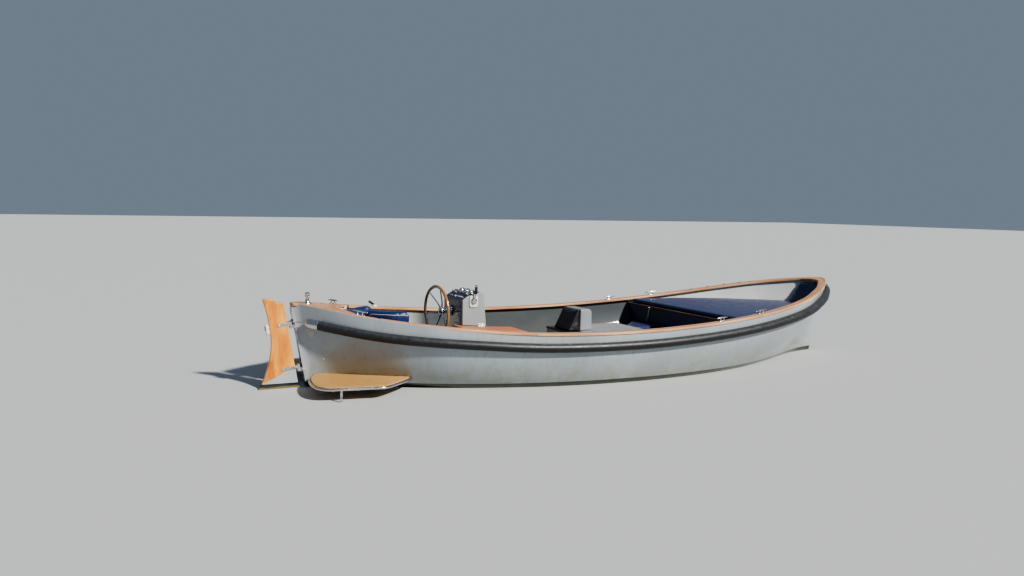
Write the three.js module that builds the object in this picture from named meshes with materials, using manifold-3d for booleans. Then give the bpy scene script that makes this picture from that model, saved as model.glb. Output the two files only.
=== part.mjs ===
// Motor launch, 6.8 m: hull, deck, furniture, rudder, propeller and helm as separate named parts.
// Millimetres. +X is forward, +Y is port, +Z is up. The origin is amidships on the waterline.
import * as THREE from "three";
import { mergeVertices } from "three/addons/utils/BufferGeometryUtils.js";
import Module from "manifold-3d";

const wasm = await Module();
wasm.setup();

// Driving sizes
const BOW_X = 3372;
const STERN_X = -3330;
const WALL = 30;
const KEEL_HALF = 40;
const CAP_THICK = 25;
const CAP_WIDTH = 95;
const CAP_OUT = 10;
const GAP = 0.4;
const SOLE_TOP = 70;

// Hull stations: x at the sheer, half beam b, sheer height z, keel line k, fullness p
const STATIONS = [
  { x: -3330, b: 85, z: 817, k: 30, p: 1.0 },
  { x: -3200, b: 230, z: 795, k: 10, p: 1.02 },
  { x: -3000, b: 420, z: 757, k: -35, p: 1.1 },
  { x: -2800, b: 568, z: 722, k: -80, p: 1.22 },
  { x: -2500, b: 738, z: 680, k: -140, p: 1.38 },
  { x: -2200, b: 856, z: 645, k: -195, p: 1.55 },
  { x: -1900, b: 942, z: 615, k: -240, p: 1.7 },
  { x: -1500, b: 1035, z: 582, k: -290, p: 1.85 },
  { x: -1000, b: 1112, z: 560, k: -345, p: 1.97 },
  { x: -500, b: 1156, z: 555, k: -385, p: 2.0 },
  { x: 0, b: 1170, z: 560, k: -400, p: 2.0 },
  { x: 500, b: 1160, z: 578, k: -390, p: 1.9 },
  { x: 1000, b: 1130, z: 608, k: -365, p: 1.73 },
  { x: 1500, b: 1070, z: 652, k: -325, p: 1.5 },
  { x: 2000, b: 962, z: 712, k: -280, p: 1.2 },
  { x: 2400, b: 825, z: 772, k: -248, p: 0.97 },
  { x: 2700, b: 658, z: 825, k: -222, p: 0.8 },
  { x: 2900, b: 524, z: 858, k: -200, p: 0.7 },
  { x: 3100, b: 350, z: 890, k: -170, p: 0.62 },
  { x: 3250, b: 204, z: 911, k: -140, p: 0.58 },
  { x: 3322, b: 118, z: 921, k: -118, p: 0.56 },
  { x: 3358, b: 62, z: 925, k: -106, p: 0.55 },
  { x: 3372, b: 42, z: 926, k: -102, p: 0.55 },
];

// Where the stem stands at each height
const STEM = [
  { z: -400, x: 2960 },
  { z: -220, x: 3020 },
  { z: -160, x: 3070 },
  { z: -80, x: 3140 },
  { z: 0, x: 3190 },
  { z: 200, x: 3228 },
  { z: 430, x: 3266 },
  { z: 700, x: 3320 },
  { z: 950, x: 3372 },
  { z: 1200, x: 3400 },
];

// Grid lines along the sheer
const GRID_X = [
  -3330, -3285, -3220, -3140, -3040, -2930, -2800, -2650, -2480, -2300, -2110, -1900, -1680,
  -1440, -1180, -900, -600, -300, 0, 300, 600, 900, 1180, 1440, 1680, 1900, 2110, 2300, 2470,
  2620, 2750, 2860, 2955, 3040, 3115, 3180, 3235, 3278, 3312, 3338, 3358, 3372,
];
const LEVELS = 10;

// Monotone cubic through the rows of a table
function curve(rows, kx, ky) {
  const n = rows.length;
  const xs = rows.map((r) => r[kx]);
  const ys = rows.map((r) => r[ky]);
  const d = [];
  for (let i = 0; i < n - 1; i++) d.push((ys[i + 1] - ys[i]) / (xs[i + 1] - xs[i]));
  const m = [d[0]];
  for (let i = 1; i < n - 1; i++) {
    if (d[i - 1] * d[i] <= 0) {
      m.push(0);
    } else {
      const h0 = xs[i] - xs[i - 1];
      const h1 = xs[i + 1] - xs[i];
      const w1 = 2 * h1 + h0;
      const w2 = h1 + 2 * h0;
      m.push((w1 + w2) / (w1 / d[i - 1] + w2 / d[i]));
    }
  }
  m.push(d[n - 2]);
  return (x) => {
    const q = Math.min(Math.max(x, xs[0]), xs[n - 1]);
    let i = 0;
    while (i < n - 2 && q > xs[i + 1]) i++;
    const h = xs[i + 1] - xs[i];
    const t = (q - xs[i]) / h;
    const t2 = t * t;
    const t3 = t2 * t;
    return (2 * t3 - 3 * t2 + 1) * ys[i] + (t3 - 2 * t2 + t) * h * m[i]
      + (-2 * t3 + 3 * t2) * ys[i + 1] + (t3 - t2) * h * m[i + 1];
  };
}

const halfBeam = curve(STATIONS, "x", "b");
const sheer = curve(STATIONS, "x", "z");
const keelLine = curve(STATIONS, "x", "k");
const fullness = curve(STATIONS, "x", "p");
const stemX = curve(STEM, "z", "x");

// The rudder axis leans aft going up; the sternpost and the rudder's edge follow it
const AXIS_X0 = -3285;
const AXIS_LEAN = -0.175;
const axisX = (z) => AXIS_X0 + AXIS_LEAN * z;
const POST_AFT = 28;
const POST_DEPTH = 64;
const sternX = (z) => axisX(z) + POST_AFT + POST_DEPTH;

// Half width of the hull at station x and height z
function skinY(x, z, inset) {
  const top = sheer(x);
  const low = keelLine(x) + inset;
  const t = Math.min(Math.max((top - z) / (top - low), 0), 1);
  const b = Math.max(halfBeam(x) - inset, KEEL_HALF * 0.4);
  const k = Math.max(KEEL_HALF - inset, 12);
  return b < k ? b : k + (b - k) * Math.pow(1 - t * t, 1 / fullness(x));
}

// Geometry helpers
function manifold(geometry) {
  const g = geometry.clone();
  g.deleteAttribute("normal");
  g.deleteAttribute("uv");
  const m = mergeVertices(g, 1e-3);
  return new wasm.Manifold(new wasm.Mesh({
    numProp: 3,
    vertProperties: Float32Array.from(m.attributes.position.array),
    triVerts: Uint32Array.from(m.index.array),
  }));
}

function geometryOf(solid) {
  const mesh = solid.getMesh();
  const g = new THREE.BufferGeometry();
  const n = mesh.numProp;
  const count = mesh.vertProperties.length / n;
  const p = new Float32Array(count * 3);
  for (let i = 0; i < count; i++) {
    for (let k = 0; k < 3; k++) p[3 * i + k] = mesh.vertProperties[n * i + k];
  }
  g.setAttribute("position", new THREE.BufferAttribute(p, 3));
  g.setIndex(new THREE.BufferAttribute(Uint32Array.from(mesh.triVerts), 1));
  return g;
}

// Closed solid from rings of equal length; a ring is a list of [x, y, z]
function loft(rings, closed = false) {
  const n = rings[0].length;
  const pos = rings.flat().flat();
  const idx = [];
  const last = closed ? rings.length : rings.length - 1;
  for (let i = 0; i < last; i++) {
    const a = i * n;
    const b = ((i + 1) % rings.length) * n;
    for (let j = 0; j < n; j++) {
      const k = (j + 1) % n;
      idx.push(a + j, b + j, b + k, a + j, b + k, a + k);
    }
  }
  if (!closed) {
    const e = (rings.length - 1) * n;
    for (const [s, flip] of [[0, false], [e, true]]) {
      const ring = rings[s === 0 ? 0 : rings.length - 1];
      for (const t of capTriangles(ring)) {
        idx.push(...(flip ? [s + t[0], s + t[2], s + t[1]] : [s + t[0], s + t[1], s + t[2]]));
      }
    }
  }
  const g = new THREE.BufferGeometry();
  g.setAttribute("position", new THREE.Float32BufferAttribute(pos, 3));
  g.setIndex(idx);
  return outward(g);
}

// Triangulate a nearly flat ring in its own plane
function capTriangles(ring) {
  const c = new THREE.Vector3();
  const v = ring.map((p) => new THREE.Vector3(...p));
  v.forEach((p) => c.add(p));
  c.multiplyScalar(1 / v.length);
  const normal = new THREE.Vector3();
  v.forEach((p, i) => {
    const q = v[(i + 1) % v.length];
    normal.add(new THREE.Vector3().crossVectors(p.clone().sub(c), q.clone().sub(c)));
  });
  normal.normalize();
  const u = new THREE.Vector3(Math.abs(normal.x) > 0.8 ? 0 : 1, Math.abs(normal.x) > 0.8 ? 1 : 0, 0);
  u.addScaledVector(normal, -u.dot(normal)).normalize();
  const w = new THREE.Vector3().crossVectors(normal, u);
  const flat = v.map((p) => new THREE.Vector2(p.clone().sub(c).dot(u), p.clone().sub(c).dot(w)));
  return THREE.ShapeUtils.triangulateShape(flat, []);
}

// Turn a closed mesh right side out by its signed volume
function outward(g) {
  const p = g.attributes.position;
  const ix = g.index.array;
  let vol = 0;
  const a = new THREE.Vector3();
  const b = new THREE.Vector3();
  const c = new THREE.Vector3();
  for (let i = 0; i < ix.length; i += 3) {
    a.fromBufferAttribute(p, ix[i]);
    b.fromBufferAttribute(p, ix[i + 1]);
    c.fromBufferAttribute(p, ix[i + 2]);
    vol += a.dot(b.clone().cross(c));
  }
  if (vol < 0) {
    for (let i = 0; i < ix.length; i += 3) {
      const t = ix[i + 1];
      ix[i + 1] = ix[i + 2];
      ix[i + 2] = t;
    }
  }
  return g;
}

function box(x0, x1, y0, y1, z0, z1) {
  const g = new THREE.BoxGeometry(x1 - x0, y1 - y0, z1 - z0);
  g.translate((x0 + x1) / 2, (y0 + y1) / 2, (z0 + z1) / 2);
  return g;
}

// Side profile [[x, z], ...] spread from y0 to y1
function sidePlate(points, y0, y1) {
  return loft([y0, y1].map((y) => points.map(([x, z]) => [x, y, z])));
}

// Plan outline [[x, y], ...] raised from z0 to z1
function planPlate(points, z0, z1) {
  return loft([z0, z1].map((z) => points.map(([x, y]) => [x, y, z])));
}

// Round bar along a list of points
function bar(points, radius, sides = 10, closed = false) {
  const path = points.map((p) => new THREE.Vector3(...p));
  const rings = [];
  let side = null;
  const n = path.length;
  for (let i = 0; i < n; i++) {
    const prev = path[closed ? (i + n - 1) % n : Math.max(i - 1, 0)];
    const next = path[closed ? (i + 1) % n : Math.min(i + 1, n - 1)];
    const t = next.clone().sub(prev).normalize();
    if (!side) {
      side = new THREE.Vector3(0, 0, 1);
      if (Math.abs(t.z) > 0.9) side = new THREE.Vector3(0, 1, 0);
    }
    side.addScaledVector(t, -side.dot(t)).normalize();
    const up = new THREE.Vector3().crossVectors(t, side);
    const r = typeof radius === "function" ? radius(i / (n - 1)) : radius;
    const ring = [];
    for (let k = 0; k < sides; k++) {
      const a = (2 * Math.PI * k) / sides;
      const q = path[i].clone().addScaledVector(side, r * Math.cos(a)).addScaledVector(up, r * Math.sin(a));
      ring.push([q.x, q.y, q.z]);
    }
    rings.push(ring);
    side = side.clone();
  }
  return loft(rings, closed);
}

const union = (...gs) => gs.map(manifold).reduce((a, b) => a.add(b));

// Hull volumes
function hullRing(x, inset, lift) {
  const top = sheer(x) - CAP_THICK - 1 + Math.max(-inset, 0);
  const low = keelLine(x) + inset;
  const full = sheer(x);
  const stbd = [];
  for (let j = 0; j <= LEVELS; j++) {
    const t0 = (full - top) / (full - low);
    const a = Math.asin(t0) + (Math.PI / 2 - Math.asin(t0)) * (j / LEVELS);
    const z = full - (full - low) * Math.sin(a);
    const zz = j === LEVELS ? low : z;
    stbd.push([x, -skinY(x, zz, inset), zz]);
  }
  if (lift > 0) stbd.unshift([x, stbd[0][1], top + lift]);
  const port = stbd.map(([a, b, c]) => [a, -b, c]).reverse();
  return [...stbd, ...port].map(([a, b, c]) => [place(a, Math.min(c, top)), b, c]);
}

// Slide a sheer station to its real place at height z, so both ends rake
function place(x, z) {
  const top = sheer(x) - CAP_THICK - 1;
  return x > 0 ? (x * stemX(z)) / stemX(top) : (x * sternX(z)) / sternX(top);
}

function hullVolume(inset, lift) {
  const squeeze = inset > 0 ? 1 - inset * 0.00052 : 1 - inset / 3300;
  const rings = GRID_X.map((x) => {
    const ring = hullRing(x, inset, lift);
    return ring.map(([a, b, c]) => [a * squeeze, b, c]);
  });
  return manifold(loft(rings));
}

const outerHull = hullVolume(0, 0);
const outerGrown = hullVolume(-GAP, 0);
const innerHull = hullVolume(WALL, 400);
const innerRoom = hullVolume(WALL + GAP + 0.4, 400);

const paint = (hex, metalness, roughness) => new THREE.MeshStandardMaterial({
  color: hex, metalness, roughness, side: THREE.FrontSide,
});
const LOOKS = {
  hull_paint: paint("#a3abb1", 0.1, 0.4),
  bottom_paint: paint("#1a1b1c", 0.0, 0.8),
  teak: paint("#b08c68", 0.0, 0.7),
  rudder_wood: paint("#c98a45", 0.0, 0.5),
  stainless: paint("#c9ccd0", 0.9, 0.25),
  bronze: paint("#9c7a3c", 0.8, 0.4),
  rope_fender: paint("#26272a", 0.0, 0.8),
  moulding: paint("#b4b9bd", 0.0, 0.5),
  navy_vinyl: paint("#20283c", 0.0, 0.6),
  dark_panel: paint("#161b28", 0.0, 0.5),
  black_vinyl: paint("#151619", 0.0, 0.6),
  wheel_wood: paint("#a0713f", 0.0, 0.4),
  engine_paint: paint("#5f6a70", 0.2, 0.5),
};

const boat = new THREE.Group();
boat.name = "motor_launch";
function put(name, slot, shape) {
  const g = shape instanceof THREE.BufferGeometry ? shape : geometryOf(shape);
  const flat = mergeVertices(g.clone(), 1e-4);
  flat.computeVertexNormals();
  const mesh = new THREE.Mesh(flat, LOOKS[slot]);
  mesh.name = name;
  boat.add(mesh);
}

// Hull shell, open on top
put("hull_shell", "hull_paint", outerHull.subtract(innerHull));

// Keel with its heel bar under the propeller
const keelProfile = [
  [-3286, -560], [1300, -560], [1900, -490], [2450, -340], [2700, -215], [2300, -180],
  [1500, -230], [500, -290], [-500, -285], [-1500, -190], [-2200, -100], [-2700, 20],
  [-2950, 60], [-2950, -440], [-2990, -500], [-3286, -500],
];
put("keel_skeg", "bottom_paint", manifold(sidePlate(keelProfile, -34, 34)).subtract(outerGrown));

// Sternpost: fills the end of the hull and carries the rudder
const postTop = sheer(-3330) - CAP_THICK - 2;
const POST_ZS = [-499, -300, -100, 60, 200, 340, 480, 620];
const postAft = POST_ZS.map((z) => [axisX(z) + POST_AFT, z]);
const postFore = POST_ZS.map((z) => [sternX(z) - 0.5, z]);
const postProfile = [
  ...postAft, [axisX(700) + POST_AFT - 8, 700], [-3394, 728], [-3394, postTop - 22],
  [sternX(postTop) - 0.5, postTop - 22],
  ...postFore.reverse(),
];
put("sternpost", "hull_paint", manifold(sidePlate(postProfile, -42, 42)).subtract(outerGrown));

// Cap rails
const CUT_AFT = -2720;
const CUT_FORE = 2750;
function planNormal(x) {
  const e = 2;
  const dx = (x + e > BOW_X) ? e : 2 * e;
  const y0 = halfBeam(Math.max(x - e, STERN_X));
  const y1 = halfBeam(Math.min(x + e, BOW_X));
  const l = Math.hypot(dx, y1 - y0);
  return [-(y1 - y0) / l, dx / l];
}
function capRing(x, side, width) {
  const [nx, ny] = planNormal(x);
  const b = halfBeam(x);
  const at = (d, z) => {
    const px = x + nx * d;
    return [px, side * (b + ny * d), sheer(px) + z];
  };
  const o = CAP_OUT;
  const i = CAP_OUT - width;
  const t = -CAP_THICK;
  return [
    at(o, t + 7), at(o, -7), at(o - 6, 0), at(i + 6, 0),
    at(i, -7), at(i, t + 7), at(i + 6, t), at(o - 6, t),
  ];
}
const railXs = [CUT_AFT + 1, ...GRID_X.filter((x) => x > CUT_AFT + 40 && x < CUT_FORE - 40), CUT_FORE - 1];
for (const [name, side] of [["starboard", -1], ["port", 1]]) {
  put(`cap_rail_${name}`, "teak", loft(railXs.map((x) => capRing(x, side, CAP_WIDTH))));
}

// Space kept free for the rails, with a small gap round them
const railZones = [-1, 1].map((side) => manifold(loft(railXs.map((x) => {
  const [nx, ny] = planNormal(x);
  const corner = (d, z) => [x + nx * d, side * (halfBeam(x) + ny * d), sheer(x + nx * d) + z];
  const inner = CAP_OUT - CAP_WIDTH - 4;
  return [corner(60, -CAP_THICK - 2), corner(60, 90), corner(inner, 90), corner(inner, -CAP_THICK - 2)];
}))));
const clearRails = (solid) => railZones.reduce((a, b) => a.subtract(b), solid);

// End pieces of the deck edge: outer line along the sheer, inner line of their own
function edgeDeck(outer, inner) {
  return loft(outer.map(([ox, oy], k) => {
    const [ix, iy] = inner[k];
    const l = Math.hypot(ox - ix, oy - iy);
    const ux = (ox - ix) / l;
    const uy = (oy - iy) / l;
    const at = (px, py, z) => [px, py, sheer(px) + z];
    return [
      at(ox, oy, -CAP_THICK + 7), at(ox, oy, -7), at(ox - 6 * ux, oy - 6 * uy, 0),
      at(ix + 6 * ux, iy + 6 * uy, 0), at(ix, iy, -7), at(ix, iy, -CAP_THICK),
      at(ox - 6 * ux, oy - 6 * uy, -CAP_THICK),
    ];
  }));
}
function sheerEdge(x, side) {
  const [nx, ny] = planNormal(x);
  return [x + nx * CAP_OUT, side * (halfBeam(x) + ny * CAP_OUT)];
}
const bowXs = [CUT_FORE + 1, 2860, 2955, 3040, 3115, 3180, 3235, 3278, 3312, 3338, 3358];
const bowOuter = [
  ...bowXs.map((x) => sheerEdge(x, -1)), [3383, -30], [3383, 30],
  ...bowXs.map((x) => sheerEdge(x, 1)).reverse(),
];
const bowStart = halfBeam(CUT_FORE) - CAP_WIDTH + CAP_OUT;
const BOW_INNER_X = 3150;
const bowInner = bowOuter.map((_, k) => {
  const a = Math.PI * (k / (bowOuter.length - 1)) - Math.PI / 2;
  const c = Math.max(Math.cos(a), 0);
  return [CUT_FORE + 1 + (BOW_INNER_X - CUT_FORE) * Math.pow(c, 1.7), bowStart * Math.sin(a)];
});
put("bow_cap", "teak", manifold(edgeDeck(bowOuter, bowInner)).subtract(outerGrown));
const sternXs = [CUT_AFT - 1, -2800, -2930, -3040, -3140, -3220, -3285, -3330];
const sternOuter = [
  ...sternXs.map((x) => sheerEdge(x, -1)), [-3397, -62], [-3397, 62],
  ...sternXs.map((x) => sheerEdge(x, 1)).reverse(),
];
const deckStart = halfBeam(CUT_AFT) - CAP_WIDTH + CAP_OUT;
const AFT_DECK_INNER_X = -2965;
const sternInner = sternOuter.map((_, k) => {
  const a = Math.PI * (k / (sternOuter.length - 1)) - Math.PI / 2;
  const c = Math.max(Math.cos(a), 0);
  return [CUT_AFT - 1 + (AFT_DECK_INNER_X - CUT_AFT) * Math.pow(c, 0.9), deckStart * Math.sin(a)];
});
const aftDeck = manifold(edgeDeck(sternOuter, sternInner)).subtract(outerGrown);
put("aft_deck", "teak", aftDeck);

// Rubbing fender round the whole hull, thicker towards the bow
const FENDER_XS = [
  -3165, -3120, -3060, -2970, -2850, -2690, -2500, -2290, -2060, -1800, -1500, -1150, -780, -400, 0, 400,
  780, 1150, 1480, 1780, 2050, 2290, 2500, 2680, 2830, 2950, 3050, 3135, 3200, 3250, 3290, 3322, 3344,
];
const FENDER_RADIUS = [
  { x: -3400, r: 44 },
  { x: -2000, r: 45 },
  { x: 0, r: 46 },
  { x: 1500, r: 48 },
  { x: 3372, r: 60 },
];
const FENDER_DROP = [
  { x: -3400, drop: 178 },
  { x: -2700, drop: 170 },
  { x: -2200, drop: 155 },
  { x: -1700, drop: 143 },
  { x: -1000, drop: 140 },
  { x: 0, drop: 140 },
  { x: 1500, drop: 143 },
  { x: 2400, drop: 148 },
  { x: 3000, drop: 139 },
  { x: 3372, drop: 128 },
];
const fenderDrop = curve(FENDER_DROP, "x", "drop");
const fenderR = curve(FENDER_RADIUS, "x", "r");
function fenderPoint(x, side) {
  const r = fenderR(x);
  const z = sheer(x) - fenderDrop(x);
  const y = skinY(x, z, 0);
  const y0 = skinY(Math.max(x - 3, STERN_X), z, 0);
  const y1 = skinY(Math.min(x + 3, BOW_X), z, 0);
  const dx = Math.min(x + 3, BOW_X) - Math.max(x - 3, STERN_X);
  const l = Math.hypot(dx, y1 - y0);
  const out = r * 0.5;
  return [place(x, z) - ((y1 - y0) / l) * out, side * (y + (dx / l) * out), z];
}
const fenderTip = [3379, 0, sheer(3372) - 128];
const fenderPath = [
  ...FENDER_XS.map((x) => fenderPoint(x, -1)), fenderTip,
  ...FENDER_XS.map((x) => fenderPoint(x, 1)).reverse(),
];
const spread = (t) => fenderR(FENDER_XS[Math.round((1 - Math.abs(2 * t - 1)) * (FENDER_XS.length - 1))]);
put("fender", "rope_fender", manifold(bar(fenderPath, spread, 10)).subtract(outerGrown));

// Chrome ends of the fender with a stay rod to the sternpost
for (const [name, side] of [["starboard", -1], ["port", 1]]) {
  const a = fenderPoint(-3169, side);
  const b = fenderPoint(-3245, side);
  const at = (t) => a.map((v, i) => v + (b[i] - v) * t);
  const tip = at(1.35);
  const cupRadii = [45, 47, 46, 38, 24, 7];
  const cup = bar([at(0), at(0.35), at(0.8), at(1.1), at(1.28), tip], (t) => cupRadii[Math.round(t * 5)], 14);
  const rod = bar([at(1.2), [-3385, side * 48, a[2] + 18], [-3372, side * 49, a[2] + 22]], 6, 8);
  const foot = bar([[-3372, side * 42.5, a[2] + 22], [-3372, side * 52, a[2] + 22]], 14, 10);
  put(`fender_end_${name}`, "stainless", union(cup, rod, foot).subtract(outerGrown));
}

// Swim platforms: plan outline on the starboard side, table of x and y
const PLATFORM_TOP = 132;
const PLATFORM = [
  { x: -3205, y: -95 }, { x: -3262, y: -210 }, { x: -3296, y: -330 }, { x: -3316, y: -470 },
  { x: -3318, y: -590 }, { x: -3296, y: -690 }, { x: -3235, y: -762 }, { x: -3120, y: -795 },
  { x: -2990, y: -812 }, { x: -2850, y: -832 }, { x: -2745, y: -846 }, { x: -2680, y: -820 },
  { x: -2610, y: -765 }, { x: -2530, y: -695 }, { x: -2440, y: -610 },
  { x: -2360, y: -520 },
];
const PLATFORM_BEAMS = [
  { x: -3180, y: -779 }, { x: -2960, y: -816 }, { x: -2720, y: -839 }, { x: -2520, y: -686 },
];
const LEG = [
  { x: -3120, y: -794, z: 115 }, { x: -3118, y: -790, z: -20 }, { x: -3095, y: -750, z: -95 },
  { x: -2840, y: -330, z: -90 }, { x: -2740, y: -120, z: -20 },
];
const RIM = 13;
for (const [name, side] of [["starboard", -1], ["port", 1]]) {
  const line = PLATFORM.map((p) => [p.x, -side * p.y]);
  const centre = [-2860, side * 480];
  const shrunk = line.map(([x, y]) => {
    const l = Math.hypot(x - centre[0], y - centre[1]);
    const f = 1 - (RIM + 0.6) / (l * 0.86);
    return [centre[0] + (x - centre[0]) * f, centre[1] + (y - centre[1]) * f];
  });
  const boardEdge = [...shrunk, [-2380, side * 150], [-3150, side * 20]];
  const board = planPlate(boardEdge, PLATFORM_TOP - 24, PLATFORM_TOP);
  put(`platform_board_${name}`, "teak", manifold(board).subtract(outerGrown));
  const z = PLATFORM_TOP - 17;
  const rim = bar(line.map(([x, y]) => [x, y, z]), RIM, 10);
  const beams = PLATFORM_BEAMS.map((b) => bar(
    [[b.x, -side * b.y, PLATFORM_TOP - 34], [b.x + 30, side * 30, PLATFORM_TOP - 34]], 9.5, 8));
  const leg = bar(LEG.map((p) => [p.x, -side * p.y, p.z]), 12, 8);
  const frame = union(rim, leg, ...beams).subtract(outerGrown);
  put(`platform_frame_${name}`, "stainless", frame);
}

// Rudder: side profile below, plates in the frame of the leaning axis
const RUDDER_EDGE = 36;
const FRONT_ZS = [800, 620, 400, 200, 0, -220, -440];
const rudderProfile = [
  [-3656, 852], [-3620, 857], [-3578, 857], [-3545, 838], [-3520, 822],
  ...FRONT_ZS.map((z) => [axisX(z) - RUDDER_EDGE, z]),
  [-3300, -466], [-3560, -470], [-3740, -440], [-3800, -340], [-3805, -200], [-3785, -100],
  [-3757, -50], [-3722, -15], [-3690, 20], [-3655, 80], [-3627, 165], [-3598, 270], [-3584, 360],
  [-3580, 450], [-3587, 540], [-3602, 640], [-3624, 740], [-3645, 815],
];
put("rudder_blade", "rudder_wood", sidePlate(rudderProfile, -20, 20));

// Local frame: u runs aft from the axis, w along the axis
const tilt = Math.atan(-AXIS_LEAN);
function onAxis(g, z) {
  const m = g.clone();
  m.rotateY(-tilt);
  m.translate(axisX(z), 0, z);
  return m;
}
const HINGES = [
  { name: "upper", z: 622, reach: 125 },
  { name: "lower", z: 205, reach: 165 },
];
const upright = (r, z0, z1, sides = 32) => {
  const g = new THREE.CylinderGeometry(r, r, z1 - z0, sides);
  g.rotateX(Math.PI / 2);
  g.translate(0, 0, (z0 + z1) / 2);
  return g;
};
for (const h of HINGES) {
  const strap = union(
    box(-h.reach, -22, 20.4, 25.4, -15, 15),
    box(-h.reach, -22, -25.4, -20.4, -15, 15),
    box(-34.5, -10, -25.4, 25.4, -15, 15),
    upright(22, -15, 15),
    upright(9.9, -52, -10),
    upright(14, 10, 22),
  );
  put(`rudder_strap_${h.name}`, "stainless", onAxis(geometryOf(strap), h.z));
  const gudgeon = union(
    upright(22, -47, -16.5),
    box(6, 26.5, -20, 20, -47, -16.5),
    box(21, 27.2, -47.4, 47.4, -47, -16.5),
    box(21, 84, 42.4, 47.4, -47, -16.5),
    box(21, 84, -47.4, -42.4, -47, -16.5),
  ).subtract(manifold(upright(10.06, -60, 0)));
  put(`gudgeon_${h.name}`, "stainless", onAxis(geometryOf(gudgeon), h.z));
}

// Propeller on its shaft
const SHAFT_Z = -245;
const PROP_X = -3085;
const PROP_R = 168;
const lengthwise = (r0, r1, x0, x1, sides = 32) => {
  const g = new THREE.CylinderGeometry(r1, r0, x1 - x0, sides);
  g.rotateZ(-Math.PI / 2);
  g.translate((x0 + x1) / 2, 0, SHAFT_Z);
  return g;
};
const BLADE = [
  { r: 22, chord: 50, thick: 12, pitch: 62 },
  { r: 60, chord: 84, thick: 9, pitch: 40 },
  { r: 100, chord: 100, thick: 7, pitch: 29 },
  { r: 140, chord: 84, thick: 5, pitch: 23 },
  { r: 160, chord: 52, thick: 4, pitch: 20 },
  { r: PROP_R, chord: 20, thick: 3, pitch: 19 },
];
function blade(turn) {
  const g = loft(BLADE.map((s) => {
    const a = (s.pitch * Math.PI) / 180;
    const at = (u, v) => [u * Math.sin(a) + v * Math.cos(a), u * Math.cos(a) - v * Math.sin(a), s.r];
    const c = s.chord / 2;
    const t = s.thick / 2;
    return [at(c, 0), at(c * 0.4, t), at(-c * 0.4, t), at(-c, 0), at(-c * 0.4, -t), at(c * 0.4, -t)];
  }));
  g.rotateX(turn);
  g.translate(PROP_X, 0, SHAFT_Z);
  return g;
}
const blades = [0, 1, 2].map((k) => blade((k * 2 * Math.PI) / 3));
put("propeller", "bronze", union(lengthwise(26, 34, PROP_X - 38, PROP_X + 38), ...blades,
  lengthwise(10, 20, PROP_X - 62, PROP_X - 36))
  .subtract(manifold(lengthwise(12.3, 12.3, PROP_X - 20, PROP_X + 60))));
put("propeller_shaft", "stainless", lengthwise(12, 12, PROP_X - 19, -2952));
put("stern_tube", "bronze", manifold(lengthwise(34, 34, -3010, -2950.4))
  .subtract(manifold(lengthwise(12.1, 12.1, -3020, -2940))));

// Cockpit sole, trimmed to the inside of the hull
const trim = (g) => manifold(g).intersect(innerRoom);
put("cockpit_sole", "teak", trim(box(-2560, 1190, -1100, 1100, SOLE_TOP - 18, SOLE_TOP)));

// Stern seat: curved bench under the aft deck's edge with a raised back
const SEAT_TOP = 400;
put("stern_bench", "moulding", trim(box(-3100, -2330, -900, 900, SOLE_TOP + 0.6, SEAT_TOP)));
put("stern_seat_cushion", "navy_vinyl", trim(box(-2990, -2345, -900, 900, SEAT_TOP + 0.6, SEAT_TOP + 80)));
const backOuter = [];
const backInner = [];
for (let k = 0; k <= 14; k++) {
  const a = Math.PI * (k / 14) - Math.PI / 2;
  backOuter.push([-2400 - 450 * Math.pow(Math.max(Math.cos(a), 0), 0.9), 585 * Math.sin(a)]);
  backInner.push([-2400 - 360 * Math.pow(Math.max(Math.cos(a), 0), 0.9), 495 * Math.sin(a)]);
}
const backTop = curve([{ k: 0, z: 752 }, { k: 4, z: 748 }, { k: 8, z: 704 }, { k: 14, z: 700 }], "k", "z");
const backRest = loft(backOuter.map((o, k) => {
  const i = backInner[k];
  const top = backTop(k);
  return [[o[0], o[1], SEAT_TOP + 80.4], [o[0] - 8, o[1] * 1.02, top - 35], [o[0] + 12, o[1] * 0.98, top],
    [i[0] - 15, i[1] * 1.02, top], [i[0], i[1], top - 30], [i[0], i[1], SEAT_TOP + 80.4]];
}));
put("stern_back_cushion", "navy_vinyl", manifold(backRest).intersect(innerRoom));

// Fore thwart with a corner cushion on each side, against the sun deck bulkhead
const FORE_TOP = 280;
put("fore_bench", "moulding", trim(box(640, 1148, -1150, 1150, SOLE_TOP + 0.6, FORE_TOP)));
for (const [name, side] of [["starboard", -1], ["port", 1]]) {
  const pad = [[1144, 350], [1144, 905], [1085, 890], [820, 610], [730, 470], [730, 350]];
  put(`fore_cushion_${name}`, "navy_vinyl",
    trim(planPlate(pad.map(([x, y]) => [x, side * y]), FORE_TOP + 0.6, FORE_TOP + 70)));
}

// Sun deck: slab with a bulkhead below, cushions on top
const DECK_Z = 563;
put("sun_deck_bulkhead", "dark_panel", trim(box(1150, 1176, -1150, 1150, SOLE_TOP + 0.6, DECK_Z - 26)));
put("sun_deck", "moulding", trim(box(1140, 3200, -1150, 1150, DECK_Z - 25, DECK_Z)));
put("sun_cushion", "navy_vinyl", clearRails(trim(box(1150, 3026, -1150, 1150, DECK_Z + 0.6, DECK_Z + 60))));
const bowPad = sidePlate([[3035, DECK_Z + 0.8], [3115, DECK_Z + 0.8], [3218, 838], [3160, 850]], -420, 420);
put("bow_back_cushion", "navy_vinyl", trim(bowPad).subtract(manifold(box(2700, 3400, -600, 600, 868, 1200))));

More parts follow.
